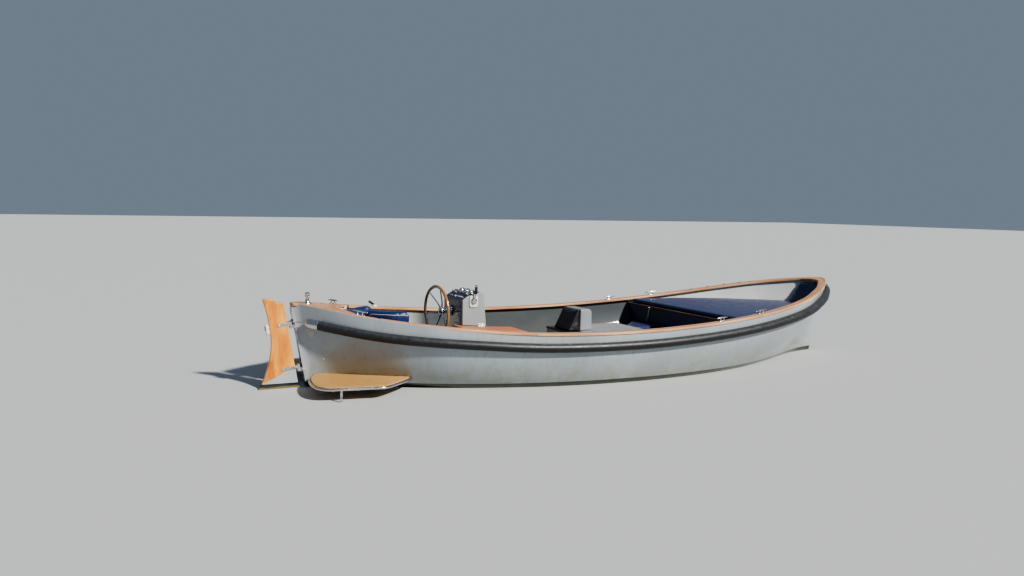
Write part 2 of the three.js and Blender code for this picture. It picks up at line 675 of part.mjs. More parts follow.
// Helm console on the starboard side deck
const CONSOLE = { aft: -1905, fore: -1650, stbd: -655, port: -205 };
const SIDE_DECK = { aft: -1985, fore: -1360, inner: -600 };
const sideXs = [SIDE_DECK.aft, -1850, -1720, -1600, -1480, SIDE_DECK.fore];
put("side_deck", "teak", loft(sideXs.map((x) => {
  const y = -(halfBeam(x) + CAP_OUT - CAP_WIDTH - 12);
  const z = sheer(x);
  return [[x, y, z], [x, SIDE_DECK.inner, z], [x, SIDE_DECK.inner, z - CAP_THICK], [x, y, z - CAP_THICK]];
})));
const footAft = sheer(CONSOLE.aft) + 1;
const footFore = sheer(CONSOLE.fore) + 1;
const consoleProfile = [
  [CONSOLE.aft, footAft], [CONSOLE.aft, 860], [CONSOLE.aft + 55, 895], [CONSOLE.fore - 62, 935],
  [CONSOLE.fore - 33, 917], [CONSOLE.fore, footFore],
];
const pedestal = [
  [CONSOLE.aft + 6, 700], [CONSOLE.aft + 6, SOLE_TOP + 0.8],
  [CONSOLE.fore - 10, SOLE_TOP + 0.8], [CONSOLE.fore - 10, 620],
];
put("console", "moulding", union(sidePlate(consoleProfile, CONSOLE.stbd, CONSOLE.port),
  sidePlate(pedestal, SIDE_DECK.inner + 3, CONSOLE.port - 6)));
put("console_face", "dark_panel",
  box(CONSOLE.aft - 12, CONSOLE.aft - 0.4, CONSOLE.stbd + 8, CONSOLE.port - 8, 622, 852));

// Steering wheel: rim, spokes with hub, and the fixed boss it turns on
const WHEEL = { x: -2075, y: -410, z: 735, r: 240, yaw: (6.4 * Math.PI) / 180 };
const rimPath = [];
for (let k = 0; k < 32; k++) {
  const a = (2 * Math.PI * k) / 32;
  rimPath.push([WHEEL.x, WHEEL.y + WHEEL.r * Math.cos(a), WHEEL.z + WHEEL.r * Math.sin(a)]);
}
const rim = bar(rimPath, 15, 8, true);
const spokes = [];
const HUB_X = WHEEL.x + 55;
for (let k = 0; k < 6; k++) {
  const a = ((12 + 60 * k) * Math.PI) / 180;
  const at = (r, x) => [x, WHEEL.y - r * Math.cos(a), WHEEL.z + r * Math.sin(a)];
  spokes.push(bar([at(16, HUB_X), at(70, HUB_X - 6), at(WHEEL.r - 16.5, WHEEL.x + 2)], 6.5, 8));
}
const wheelwise = (r, x0, x1, sides = 24) => {
  const g = new THREE.CylinderGeometry(r, r, x1 - x0, sides);
  g.rotateZ(-Math.PI / 2);
  g.translate((x0 + x1) / 2, WHEEL.y, WHEEL.z);
  return g;
};
const angled = (solid) => {
  const g = solid instanceof THREE.BufferGeometry ? solid : geometryOf(solid);
  g.translate(-WHEEL.x, -WHEEL.y, 0);
  g.rotateZ(WHEEL.yaw);
  g.translate(WHEEL.x, WHEEL.y, 0);
  return g;
};
put("wheel_rim", "wheel_wood", angled(rim));
put("wheel_spokes", "stainless", angled(union(...spokes, wheelwise(38, HUB_X - 22, HUB_X + 16))
  .subtract(manifold(wheelwise(10.15, HUB_X - 6, HUB_X + 30, 32)))));
const boss = angled(union(
  wheelwise(9.95, HUB_X - 2, HUB_X + 30, 32), wheelwise(24, HUB_X + 21.5, CONSOLE.aft),
  wheelwise(52, CONSOLE.aft - 34, CONSOLE.aft)));
put("wheel_boss", "stainless", manifold(boss)
  .subtract(manifold(box(CONSOLE.aft - 12.6, CONSOLE.fore, CONSOLE.stbd, CONSOLE.port, 500, 1000))));

// Throttle on the console's starboard face
put("throttle", "stainless", union(
  box(-1835, -1750, CONSOLE.stbd - 22, CONSOLE.stbd - 0.5, 792, 902),
  bar([[-1792, CONSOLE.stbd - 10, 850], [-1792, CONSOLE.stbd - 40, 850]], 24, 16),
  bar([[-1792, CONSOLE.stbd - 34, 850], [-1788, CONSOLE.stbd - 36, 930], [-1780, CONSOLE.stbd - 36, 1010]],
    11, 10),
));

// Engine box amidships: hollow, with a lid that carries the backrest, and the engine as a block
const BOX = { aft: -460, fore: 470, half: 300, top: 400, wall: 20 };
put("engine_box", "moulding", manifold(box(BOX.aft, BOX.fore, -BOX.half, BOX.half, SOLE_TOP + 0.6, BOX.top))
  .subtract(manifold(box(BOX.aft + BOX.wall, BOX.fore - BOX.wall,
    -BOX.half + BOX.wall, BOX.half - BOX.wall, 0, 600))));
put("engine_block", "engine_paint", box(-190, 330, -170, 170, SOLE_TOP + 0.4, 360));
put("engine_lid", "moulding",
  box(BOX.aft - 6, BOX.fore, -BOX.half - 6, BOX.half + 6, BOX.top + 0.6, BOX.top + 22));
const backPad = [[-452, BOX.top + 22.6], [-303.6, BOX.top + 22.6], [-299.6, 656], [-306, 668], [-318, 664]];
const seatShell = [[-303, BOX.top + 22.6], [-154, BOX.top + 22.6], [-158, 640], [-172, 655], [-299, 655]];
put("lid_backrest", "black_vinyl", sidePlate(backPad, -175, 175));
put("lid_seat_shell", "moulding", sidePlate(seatShell, -172, 172));

// Deck fittings: cleats from a table of name, x and distance in from the sheer
const CLEATS = [
  { name: "fore", x: 1470, inward: 40, half: 85, lift: 0.8 },
  { name: "mid", x: 880, inward: 40, half: 70, lift: 0.8 },
  { name: "aft", x: -2860, inward: 42, half: 70, lift: 2.0 },
];
for (const c of CLEATS) {
  for (const [name, side] of [["starboard", -1], ["port", 1]]) {
    const y = side * (halfBeam(c.x) - c.inward);
    const slope = (sheer(c.x + 50) - sheer(c.x - 50)) / 100;
    const z = (x) => sheer(c.x) + slope * (x - c.x) + c.lift;
    const turn = Math.atan((halfBeam(c.x + 50) - halfBeam(c.x - 50)) / 100) * side;
    const p = (u, w) => [c.x + u * Math.cos(turn), y + u * Math.sin(turn), z(c.x + u) + w];
    const horn = bar([p(-c.half, 34), p(-c.half * 0.55, 36), p(0, 37), p(c.half * 0.55, 36), p(c.half, 34)],
      (t) => 5 + 5 * (1 - Math.abs(2 * t - 1)), 8);
    const legs = [-24, 24].map((u) => bar([p(u, 2), p(u, 36)], 7, 8));
    const foot = loft([-44, 44].map((u) => {
      const q = p(u, 0);
      const [left, right, up] = [q[1] - 13, q[1] + 13, q[2] + 5];
      return [[q[0], left, q[2]], [q[0], right, q[2]], [q[0], right, up], [q[0], left, up]];
    }));
    put(`cleat_${c.name}_${name}`, "stainless", union(horn, ...legs, foot));
  }
}

// Cross bollard on the aft deck
const BOLLARD = { x: -3236, h: 105 };
const bollardZ = sheer(BOLLARD.x);
const stub = (r, z0, z1, sides) =>
  bar([[BOLLARD.x, 0, bollardZ + z0], [BOLLARD.x, 0, bollardZ + z1]], r, sides);
put("cross_bollard", "stainless", union(
  stub(42, -12, 12, 20),
  stub(18, 2, BOLLARD.h, 16),
  bar([[BOLLARD.x, -62, bollardZ + 74], [BOLLARD.x, 62, bollardZ + 74]], 10, 12),
).subtract(aftDeck.translate([0, 0, 0.4])));

// Side lights under the bow cap
for (const [name, side] of [["starboard", -1], ["port", 1]]) {
  const x = 3165;
  const z = sheer(x) - 52;
  const y = side * skinY(x, z, 0);
  const shell = bar([[x - 20, y - side * 30, z], [x + 26, y + side * 26, z]], 17, 16);
  put(`nav_light_${name}`, "stainless", manifold(shell)
    .subtract(outerGrown));
}

export default boat;
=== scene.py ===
# %% [markdown]
# # A motor launch, dressed in Blender
# The CAD model fixes every size and every joint. This script lays finer skins over it: the hull, rails,
# fender, platforms, rudder, cushions and helm of an open launch, about 6.8 m long, shown afloat with the
# floor at its waterline.

# %% The fixed frame
import bmesh
import bpy
import numpy as np
from mathutils import Matrix, Vector


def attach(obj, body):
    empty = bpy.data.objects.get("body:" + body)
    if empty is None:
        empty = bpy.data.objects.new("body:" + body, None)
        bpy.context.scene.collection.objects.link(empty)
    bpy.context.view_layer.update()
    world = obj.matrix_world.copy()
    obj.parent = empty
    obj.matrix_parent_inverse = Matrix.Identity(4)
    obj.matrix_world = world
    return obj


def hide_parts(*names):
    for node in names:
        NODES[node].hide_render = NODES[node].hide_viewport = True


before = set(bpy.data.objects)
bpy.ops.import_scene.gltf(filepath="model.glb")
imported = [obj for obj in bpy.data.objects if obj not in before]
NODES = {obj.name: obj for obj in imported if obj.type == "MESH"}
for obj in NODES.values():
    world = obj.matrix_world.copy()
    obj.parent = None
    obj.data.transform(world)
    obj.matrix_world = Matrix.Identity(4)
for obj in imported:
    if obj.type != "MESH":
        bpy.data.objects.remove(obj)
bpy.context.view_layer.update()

# %% [markdown]
# ## Camera
# The boat was photographed from its starboard quarter, about 1.8 m above the water. The camera's place came
# from fitting points of the rail, waterline, stem and sternpost, so the lens and the tilt are the fitted
# numbers.

# %% Camera
TURN, DIP, ROLL = 0.460794, 0.0944872, 0.0188964
FOCAL_PIXELS, PICTURE_WIDTH, SENSOR = 870, 1024, 36
EYE = (-5.158, -8.263, 1.770)
camera_data = bpy.data.cameras.new("camera")
camera_data.sensor_width = SENSOR
camera_data.lens = FOCAL_PIXELS / PICTURE_WIDTH * SENSOR
camera_data.clip_end = 400
camera = bpy.data.objects.new("camera", camera_data)
bpy.context.collection.objects.link(camera)
ahead = Vector((np.sin(TURN) * np.cos(DIP), np.cos(TURN) * np.cos(DIP), -np.sin(DIP)))
level = Vector((np.cos(TURN), -np.sin(TURN), 0))
lift = level.cross(ahead)
right = np.cos(ROLL) * level + np.sin(ROLL) * lift
upward = np.cos(ROLL) * lift - np.sin(ROLL) * level
turned = Matrix((right, upward, -ahead)).transposed().to_4x4()
camera.matrix_world = Matrix.Translation(EYE) @ turned
bpy.context.scene.camera = camera
print("lens", round(camera_data.lens, 2), "mm")

# %% [markdown]
# ## Colours, nodes and finishes
# A finish is a small node tree. The class below starts one with the values that hold all over it, adds
# nodes with their settings and links, and joins the results to the shader. A pattern reads Object
# coordinates unless it is given others.

# %% Helpers for finishes
def linear(code):
    """sRGB hex to linear: c/12.92 below 0.04045, else ((c+0.055)/1.055)^2.4."""
    c = np.array([int(code[i:i + 2], 16) for i in (0, 2, 4)]) / 255
    c = np.where(c < 0.04045, c / 12.92, ((c + 0.055) / 1.055) ** 2.4)
    return (*[float(v) for v in c], 1.0)


class Finish:
    """A material with its node tree; constants are set on the Principled shader's own sockets."""

    def __init__(self, name, **constants):
        self.material = bpy.data.materials.new(name)
        self.material.use_nodes = True
        self.tree = self.material.node_tree
        self.shader = self.tree.nodes["Principled BSDF"]
        for key, value in constants.items():
            self.shader.inputs[key.replace("_", " ")].default_value = value

    def add(self, kind, sockets, out=0, **settings):
        """Add a node and return one output. A socket takes a value, a hex colour or another node's output."""
        made = self.tree.nodes.new(kind)
        for key, value in settings.items():
            setattr(made, key, value)
        for key, value in sockets.items():
            if isinstance(value, bpy.types.NodeSocket):
                self.tree.links.new(value, made.inputs[key])
            else:
                made.inputs[key].default_value = linear(value) if isinstance(value, str) else value
        return made.outputs[out]

    def place(self):
        """Object coordinates, in metres."""
        return self.add("ShaderNodeTexCoord", {}, "Object")

    def strip(self):
        """Metres along and round a surface, from the UV map that every surface carries."""
        return self.add("ShaderNodeUVMap", {}, uv_map="grain")

    def axis(self, letter, vector=None):
        """One coordinate of a vector, or of the place in Object coordinates."""
        return self.add("ShaderNodeSeparateXYZ", {0: self.place() if vector is None else vector}, letter)

    def noise(self, size, detail=3, rough=0.5, stretch=(1, 1, 1), vector=None):
        """Cloudy noise whose blotches are about size metres, drawn out by stretch."""
        vector = self.place() if vector is None else vector
        mapped = self.add("ShaderNodeMapping", {"Vector": vector, "Scale": tuple(1 / s for s in stretch)})
        sockets = {"Vector": mapped, "Scale": 1 / size, "Detail": detail, "Roughness": rough}
        return self.add("ShaderNodeTexNoise", sockets, "Fac")

    def blend(self, share, low, high):
        """Colour low where share is 0, high where it is 1."""
        return self.add("ShaderNodeMix", {0: share, 6: low, 7: high}, 2, data_type="RGBA")

    def span(self, value, low, high, start=0.0, stop=1.0):
        """value from low to high becomes start to stop, held at the ends."""
        return self.add("ShaderNodeMapRange", {0: value, 1: low, 2: high, 3: start, 4: stop})

    def math(self, operation, *values):
        """MULTIPLY is a b, MULTIPLY_ADD is a b + c, FRACT is a less its whole part."""
        return self.add("ShaderNodeMath", dict(enumerate(values)), operation=operation)

    def wear(self, colour, rough=None):
        """Join a pattern's colour, and its roughness if it has one, to the shader."""
        self.tree.links.new(colour, self.shader.inputs["Base Color"])
        if rough is not None:
            self.tree.links.new(rough, self.shader.inputs["Roughness"])

    def relief(self, height, depth, strength):
        """Raise the surface by height times depth metres, as bump."""
        bump = self.add("ShaderNodeBump", {"Height": height, "Distance": depth, "Strength": strength})
        self.tree.links.new(bump, self.shader.inputs["Normal"])


print("helpers ready, mid grey is", round(linear("808080")[0], 3), "in linear light")

# %% [markdown]
# ## Gelcoat
# The hull is laid up in glass fibre behind a sprayed grey gelcoat. It is smooth and slightly glossy, with
# faint vertical runs where rain washes the rail's dirt down, and a yellow-grey haze above the water. Below
# it come the black boot-top and antifouling, greened by algae at the water's edge. All of it depends on
# height, so the pattern reads Object coordinates.

# %% Grey gelcoat with boot-top
HULL_GREY, HULL_SHADE, RUN_BROWN, HAZE = "98A1A8", "828A92", "7F8080", "7D7A55"
BOOT_BLACK, ALGAE = "14161A", "4B4A2C"
BOOT_TOP = 0.0515
f = Finish("grey_gelcoat", Roughness=0.3, Coat_Weight=0.35, Coat_Roughness=0.12)
height = f.axis("Z")
cloud = f.noise(0.6, 4)
runs = f.noise(0.035, 3, 0.6, (1, 1, 16))
blotches = f.noise(0.12, 5, 0.6, (1, 1, 3))
colour = f.blend(f.span(cloud, 0.35, 0.7, 0, 0.7), HULL_GREY, HULL_SHADE)
colour = f.blend(f.span(runs, 0.52, 0.8, 0, 0.55), colour, RUN_BROWN)
low_down = f.math("MULTIPLY", f.span(height, 0.34, 0.06), f.span(blotches, 0.3, 0.7))
colour = f.blend(f.math("MULTIPLY", low_down, 0.65), colour, HAZE)
wavy = f.math("MULTIPLY_ADD", f.noise(0.09, 5), 0.07, height)
colour = f.blend(f.span(height, BOOT_TOP, BOOT_TOP - 0.0015), colour, BOOT_BLACK)
colour = f.blend(f.span(wavy, 0.075, 0.03, 0, 0.8), colour, ALGAE)
f.wear(colour, f.span(cloud, 0.3, 0.8, 0.24, 0.4))
f.relief(f.noise(0.012, 2), 0.0002, 0.5)
hull_gelcoat = f.material

# %% Grey mouldings
def gelcoat(name, light, soiled, specks, coat=0.2, rough=0.38):
    """Moulded gelcoat: soil clouds of 350 mm over the light colour, and specks of 20 mm that also rise."""
    f = Finish(name, Roughness=rough, Coat_Weight=coat, Coat_Roughness=0.12)
    speck = f.noise(0.02, 4, 0.6)
    soil = f.noise(0.35, 5, 0.6, (1, 1, 2))
    colour = f.blend(f.span(soil, 0.4, 0.75, 0, 0.5), light, soiled)
    colour = f.blend(f.span(speck, 0.62, 0.7, 0, 0.3), colour, specks)
    f.wear(colour, f.span(soil, 0.3, 0.7, rough - 0.08, rough + 0.1))
    f.relief(speck, 0.0003, 0.6)
    return f.material


lining = gelcoat("lining_gelcoat", "878D93", "71777C", "66696B")
seat_grey = gelcoat("seat_gelcoat", "8D9499", "6E757A", "62686C", 0.45, 0.25)
deck_grey = gelcoat("deck_gelcoat", "A3A8AA", "85888A", "707475", 0.1, 0.5)

# %% Cockpit side lining
# Between the helm and the sun deck the side lining is a darker grey, with painted shade that
# deepens it towards the sole.
f = Finish("cockpit_side_gelcoat", Roughness=0.4, Specular_IOR_Level=0.08, Coat_Weight=0.08,
           Coat_Roughness=0.06)
soil = f.noise(0.3, 5, 0.6, (2, 1, 1))
# Painted shade: from 0.56 m down to 0.12 m the grey is painted darker towards the sole.
dark = f.blend(f.span(f.axis("Z"), 0.12, 0.56), "15191C", "454B51")
dark = f.blend(f.span(soil, 0.35, 0.75, 0, 0.35), dark, "5E6364")
pale = f.blend(f.span(soil, 0.35, 0.75, 0, 0.6), "BEC3C4", "A3A7A5")
forward = f.span(f.axis("X"), 1.150, 1.152)
aft = f.span(f.axis("X"), -1.7, -2.1)
f.wear(f.blend(f.math("MAXIMUM", forward, aft), dark, pale), f.span(soil, 0.3, 0.7, 0.34, 0.5))
f.relief(soil, 0.002, 0.25)
side_lining = f.material

# %% Lid gelcoat, with painted shade aft of the seat back
f = Finish("lid_gelcoat", Roughness=0.4, Coat_Weight=0.15)
soil = f.noise(0.2, 5, 0.6)
pale = f.blend(f.span(soil, 0.4, 0.75, 0, 0.6), "878D93", "6E7478")
# Painted shade: aft of the seat back, aft face included, the grey lid is painted near black.
ahead_of_seat = f.span(f.axis("X"), -0.3035, -0.3030)
f.wear(f.blend(ahead_of_seat, "14171C", pale), f.span(soil, 0.3, 0.7, 0.34, 0.5))
lid_grey = f.material

# %% White plastic
f = Finish("white_moulded_nylon", Roughness=0.45)
grime = f.noise(0.012, 4, 0.6)
f.wear(f.blend(f.span(grime, 0.4, 0.7), "D9DAD6", "A9AAA5"))
f.relief(grime, 0.0002, 0.4)
white_plastic = f.material

# %% Dark panel gelcoat
f = Finish("navy_panel_gelcoat", Roughness=0.33, Coat_Weight=0.25)
colour = f.blend(f.span(f.noise(0.25, 4), 0.35, 0.7), "0A1030", "131A40")
f.wear(colour, f.span(f.noise(0.08, 5), 0.3, 0.7, 0.28, 0.46))
f.relief(f.noise(0.006, 2), 0.0002, 0.5)
dark_panel = f.material
print("gelcoats and plastics ready")

# %% [markdown]
# ## Wood
# Teak is sawn into strips and left oiled on the rails: straight grain 2 to 4 mm wide, a pinkish tan where
# sun and water have bleached it. The rudder keeps more of its varnish, so it is a deeper orange. The grain
# has to follow each bent strip, so the teak reads the UV map that every surface below carries, with metres
# along the strip in U and metres round it in V. The rudder's grain is upright and reads Object coordinates.

# %% Teak
def wood(name, light, dark, bleached, width=0.004, gloss=0.5, coat=0.0):
    """Grain is noise drawn out 40 times along U; a slower noise moves the tone from strip to strip."""
    f = Finish(name, Roughness=gloss, Coat_Weight=coat, Coat_Roughness=0.15)
    strip = f.strip()
    fine = f.noise(width, 4, 0.65, (40, 1, 1), strip)
    pores = f.noise(width / 2.5, 2, 0.5, (25, 1, 1), strip)
    tone = f.noise(0.07, 3, 0.5, (9, 1, 1), strip)
    colour = f.blend(f.span(fine, 0.3, 0.7), light, dark)
    colour = f.blend(f.span(tone, 0.35, 0.7, 0, 0.75), colour, bleached)
    colour = f.blend(f.span(pores, 0.62, 0.75, 0, 0.45), colour, "4A2E1C")
    f.wear(colour, f.span(fine, 0.2, 0.8, gloss - 0.08, gloss + 0.14))
    f.relief(fine, 0.0004, 0.6)
    return f.material


rail_teak = wood("oiled_teak", "BB895F", "8B5A37", "D0AE93")
deck_teak = wood("laid_teak", "BD9254", "8C6230", "D3B47E", gloss=0.45)
helm_teak = wood("fresh_teak", "BC7350", "93522F", "CC8D66", gloss=0.48)
wheel_wood = wood("varnished_wheel_teak", "94683F", "5F3F24", "B08A5C", 0.003, 0.25, 0.6)

# %% Rudder wood with its painted foot
VARNISH, DARK_GRAIN, PALE_GRAIN, STAIN = "CB842A", "B4681E", "E6AE4E", "8E4010"
FOOT_GREY, FOOT_RUBBED, WATERLINE_OLIVE = "98A0A6", "7E8280", "6A6535"
FOOT_SLOPE, FOOT_TOP = -0.474, 1.7900
f = Finish("varnished_rudder_board", Roughness=0.34, Coat_Weight=0.45, Coat_Roughness=0.18)
height = f.axis("Z")
fine = f.noise(0.005, 4, 0.65, (1, 1, 34))
tone = f.noise(0.09, 4, 0.5, (1, 1, 3.5))
worn = f.noise(0.16, 5, 0.6, (1, 1, 2))
colour = f.blend(f.span(fine, 0.3, 0.7), VARNISH, DARK_GRAIN)
colour = f.blend(f.span(tone, 0.4, 0.72, 0, 0.8), colour, PALE_GRAIN)
colour = f.blend(f.span(worn, 0.54, 0.74, 0, 0.9), colour, STAIN)
slope = f.math("MULTIPLY_ADD", f.axis("X"), FOOT_SLOPE, height)
rubbed = f.blend(f.span(worn, 0.45, 0.7, 0, 0.4), FOOT_GREY, FOOT_RUBBED)
colour = f.blend(f.span(slope, FOOT_TOP, FOOT_TOP - 0.0030), colour, rubbed)
colour = f.blend(f.span(height, BOOT_TOP, BOOT_TOP - 0.0020), colour, BOOT_BLACK)
# An olive band is painted on the blade just above the water line.
wavy = f.math("MULTIPLY_ADD", worn, 0.04, height)
f.wear(f.blend(f.span(wavy, 0.046, 0.034, 0, 0.85), colour, WATERLINE_OLIVE))
f.relief(fine, 0.0004, 0.5)
rudder_wood = f.material
print("woods ready")

# %% [markdown]
# ## Metal, rubber and vinyl
# The fittings are polished stainless steel with faint rubbing marks. The fender is extruded black rubber,
# dusted grey by salt, and painted lighter on its upper side as if lit from above. Cushions wear navy marine
# vinyl, whose embossed leather grain is about 3 mm, with painted shade in the troughs of its creases.

# %% Stainless, bronze and enamel
def metal(name, colour, low, high):
    """Metal with the shader's default IOR; its roughness wanders from low to high in patches of 20 mm."""
    f = Finish(name, Base_Color=linear(colour), Metallic=1.0)
    marks = f.noise(0.02, 5, 0.6)
    f.tree.links.new(f.span(marks, 0.3, 0.7, low, high), f.shader.inputs["Roughness"])
    f.relief(marks, 0.0001, 0.3)
    return f.material


stainless = metal("polished_stainless", "C9CBCD", 0.12, 0.3)
bronze = metal("cast_bronze", "A07B45", 0.3, 0.55)
f = Finish("engine_enamel", Roughness=0.45, Coat_Weight=0.2)
oily = f.noise(0.05, 5, 0.6)
f.wear(f.blend(f.span(oily, 0.4, 0.7), "3E5562", "22303A"))
f.relief(oily, 0.0006, 0.6)
enamel = f.material

# %% Fender rubber
f = Finish("extruded_rubber", Roughness=0.42)
# Painted light: faces turned upward are painted lighter grey as if lit from above, mixed with salt dust in
# patches.
facing_up = f.axis("Z", f.add("ShaderNodeNewGeometry", {}, "Normal"))
salt = f.noise(0.05, 6, 0.65)
salt_dust_and_painted_top_light = f.math("MULTIPLY", f.span(facing_up, -0.2, 0.8), f.span(salt, 0.3, 0.75, 0.25, 0.8))
f.wear(f.blend(salt_dust_and_painted_top_light, "0C0D10", "3F4348"), f.span(salt, 0.3, 0.7, 0.34, 0.55))
f.relief(salt, 0.0005, 0.5)
rubber = f.material


# %% Marine vinyl and caulk
def vinyl(name, dark, light, gloss):
    """Embossed leather grain: cells about 3 mm across, and slow creases of 60 mm, with painted shade
    darkening the crease troughs.
    """
    f = Finish(name, Roughness=gloss, Sheen_Weight=0.08, Sheen_Roughness=0.4)
    cells = {"Vector": f.place(), "Scale": 1 / 0.0028}
    grain = f.add("ShaderNodeTexVoronoi", cells, feature="DISTANCE_TO_EDGE")
    creases_and_painted_shade = f.noise(0.06, 4, 0.55)
    # Painted shade: where the crease relief is low the vinyl is painted darker, and lighter where it is high.
    colour = f.blend(f.span(creases_and_painted_shade, 0.3, 0.75), dark, light)
    f.wear(colour, f.span(creases_and_painted_shade, 0.3, 0.7, gloss - 0.06, gloss + 0.1))
    f.relief(f.math("MULTIPLY_ADD", creases_and_painted_shade, 4.0, f.span(grain, 0, 0.12)), 0.0004, 0.55)
    return f.material


navy_vinyl = vinyl("navy_marine_vinyl", "101D4A", "1C2E62", 0.34)
black_vinyl = vinyl("black_marine_vinyl", "07080B", "101216", 0.5)
pale_piping = vinyl("pale_piping_vinyl", "8F979F", "A9B0B6", 0.5)
f = Finish("rubber_caulk", Roughness=0.6)
f.wear(f.blend(f.noise(0.01, 3), "131313", "242423"))
caulk = f.material

# %% Every CAD node takes the finish of its slot
FINISH = {
    "hull_paint": hull_gelcoat, "bottom_paint": hull_gelcoat, "teak": deck_teak, "rudder_wood": rudder_wood,
    "stainless": stainless, "bronze": bronze, "rope_fender": rubber, "moulding": lining,
    "navy_vinyl": navy_vinyl, "dark_panel": dark_panel, "black_vinyl": black_vinyl,
    "wheel_wood": wheel_wood, "engine_paint": enamel,
}
for node in NODES.values():
    for holder in node.material_slots:
        key = holder.material.name.split(".")[0]
        holder.link = "OBJECT"
        holder.material = FINISH[key]
print(len(FINISH), "slots dressed on", len(NODES), "nodes")

# %% [markdown]
# ## Stage
# A pale floor at the waterline, a plain sky and one sun stand in for the lake and the daylight. The sun
# stands 36 degrees up, 25 degrees ahead of the starboard beam, so the fender shades a band of the hull
# below it and the quarter lies in glancing light.

# %% Floor, sky and sun
REACH = 90
floor_mesh = bpy.data.meshes.new("floor")
square = [(-REACH, -REACH, 0), (REACH, -REACH, 0), (REACH, REACH, 0), (-REACH, REACH, 0)]
floor_mesh.from_pydata(square, [], [(0, 1, 2, 3)])
floor = bpy.data.objects.new("floor", floor_mesh)
bpy.context.collection.objects.link(floor)
floor_mesh.materials.append(Finish("studio_floor", Base_Color=linear("B2B5B8"), Roughness=0.85).material)
world = bpy.data.worlds.new("studio")
bpy.context.scene.world = world
world.use_nodes = True
world.node_tree.nodes["Background"].inputs[0].default_value = linear("C3D6EC")
world.node_tree.nodes["Background"].inputs[1].default_value = 0.3
sun_data = bpy.data.lights.new("sun", "SUN")
sun_data.energy = 6.4
sun_data.angle = 0.06
sun_data.color = (1.0, 0.95, 0.86)
sun = bpy.data.objects.new("sun", sun_data)
sun.location = (4.0, -8.6, 6.8)
sun.rotation_euler = (-Vector(sun.location)).to_track_quat("-Z", "Y").to_euler()
bpy.context.collection.objects.link(sun)
bpy.context.scene.view_settings.look = "AgX - Medium High Contrast"
print("stage set")

# %% [markdown]
# ## Surfaces from numpy
# Most pieces here are one idea: a closed outline carried from station to station. Numpy works out every
# point of every ring at once, quads join neighbouring rings, and each quad gets UVs in metres so that wood
# grain can follow the piece. Two curve helpers draw fair lines through tables of measured points.

# %% Fair curves
def fair(table):
    """Monotone cubic through rows (x, y). Each slope is the weighted harmonic mean of its neighbours,
    (w1 + w2) / (w1 / d1 + w2 / d2), or 0 where they turn, so the curve never overshoots."""
    xs, ys = np.array(table, float).T
    h = np.diff(xs)
    d = np.diff(ys) / h
    w1 = 2 * h[1:] + h[:-1]
    w2 = h[1:] + 2 * h[:-1]
    onward = d[:-1] * d[1:] > 0
    before, after = [np.where(onward, part, 1) for part in (d[:-1], d[1:])]
    m = np.r_[d[0], np.where(onward, (w1 + w2) / (w1 / before + w2 / after), 0), d[-1]]

    def value(x):
        """The cubic's height at x, held at the table's ends."""
        q = np.clip(x, xs[0], xs[-1])
        i = np.clip(np.searchsorted(xs, q) - 1, 0, len(h) - 1)
        t = (q - xs[i]) / h[i]
        return ((2 * t**3 - 3 * t**2 + 1) * ys[i] + (t**3 - 2 * t**2 + t) * h[i] * m[i]
                + (3 * t**2 - 2 * t**3) * ys[i + 1] + (t**3 - t**2) * h[i] * m[i + 1])
    return value


def bend(points, count):
    """Catmull-Rom: through each point, along the line from its last neighbour to its next."""
    p = np.asarray(points, float)
    p = np.r_[[2 * p[0] - p[1]], p, [2 * p[-1] - p[-2]]]
    s = np.linspace(0, len(p) - 3, count)
    i = np.minimum(s.astype(int), len(p) - 4)
    t = (s - i)[:, None]
    a, b, c, d = p[i], p[i + 1], p[i + 2], p[i + 3]
    return b + 0.5 * t * (c - a + t * (2 * a - 5 * b + 4 * c - d + t * (3 * (b - c) + d - a)))


def even(points, count):
    """The same curve with its points the same distance apart."""
    fine = bend(points, 2000)
    run = np.r_[0, np.cumsum(np.linalg.norm(np.diff(fine, axis=0), axis=1))]
    places = np.linspace(0, run[-1], count)
    return np.stack([np.interp(places, run, column) for column in fine.T], -1)


# %% Rings to meshes
def loft(rings, ends=True, tag=0):
    """Quads between neighbouring rings (rings x points x 3, metres); fans from the middle close the ends.
    U is the metres run along the rings, V the metres round each ring. tag is the place of its finish."""
    rings = np.asarray(rings, float)
    n, m = rings.shape[:2]
    u = np.r_[0, np.cumsum(np.linalg.norm(np.diff(rings, axis=0), axis=2).mean(1))]
    whole = np.concatenate([rings, rings[:, :1]], 1)
    v = np.c_[np.zeros(n), np.cumsum(np.linalg.norm(np.diff(whole, axis=1), axis=2), 1)]
    i, j = [a.ravel() for a in np.meshgrid(np.arange(n - 1), np.arange(m), indexing="ij")]
    steps = ((0, 0), (0, 1), (1, 1), (1, 0))
    faces = [np.stack([(i + a) * m + (j + b) % m for a, b in steps], 1)]
    uvs = [np.stack([np.stack([u[i + a], v[i + a, j + b]], 1) for a, b in steps], 1)]
    points = rings.reshape(-1, 3)
    for row in (0, n - 1) if ends else ():
        j = np.arange(m)
        faces.append(np.stack([np.full(m, len(points)), row * m + j, row * m + (j + 1) % m], 1))
        mean = np.tile([u[row], v[row, -1] / 2], (m, 1))
        rim = [np.stack([np.full(m, u[row]), v[row, j + a]], 1) for a in (0, 1)]
        uvs.append(np.stack([mean, *rim], 1))
        points = np.r_[points, rings[row].mean(0)[None]]
    return {"points": points, "faces": faces, "uvs": uvs, "tag": tag}


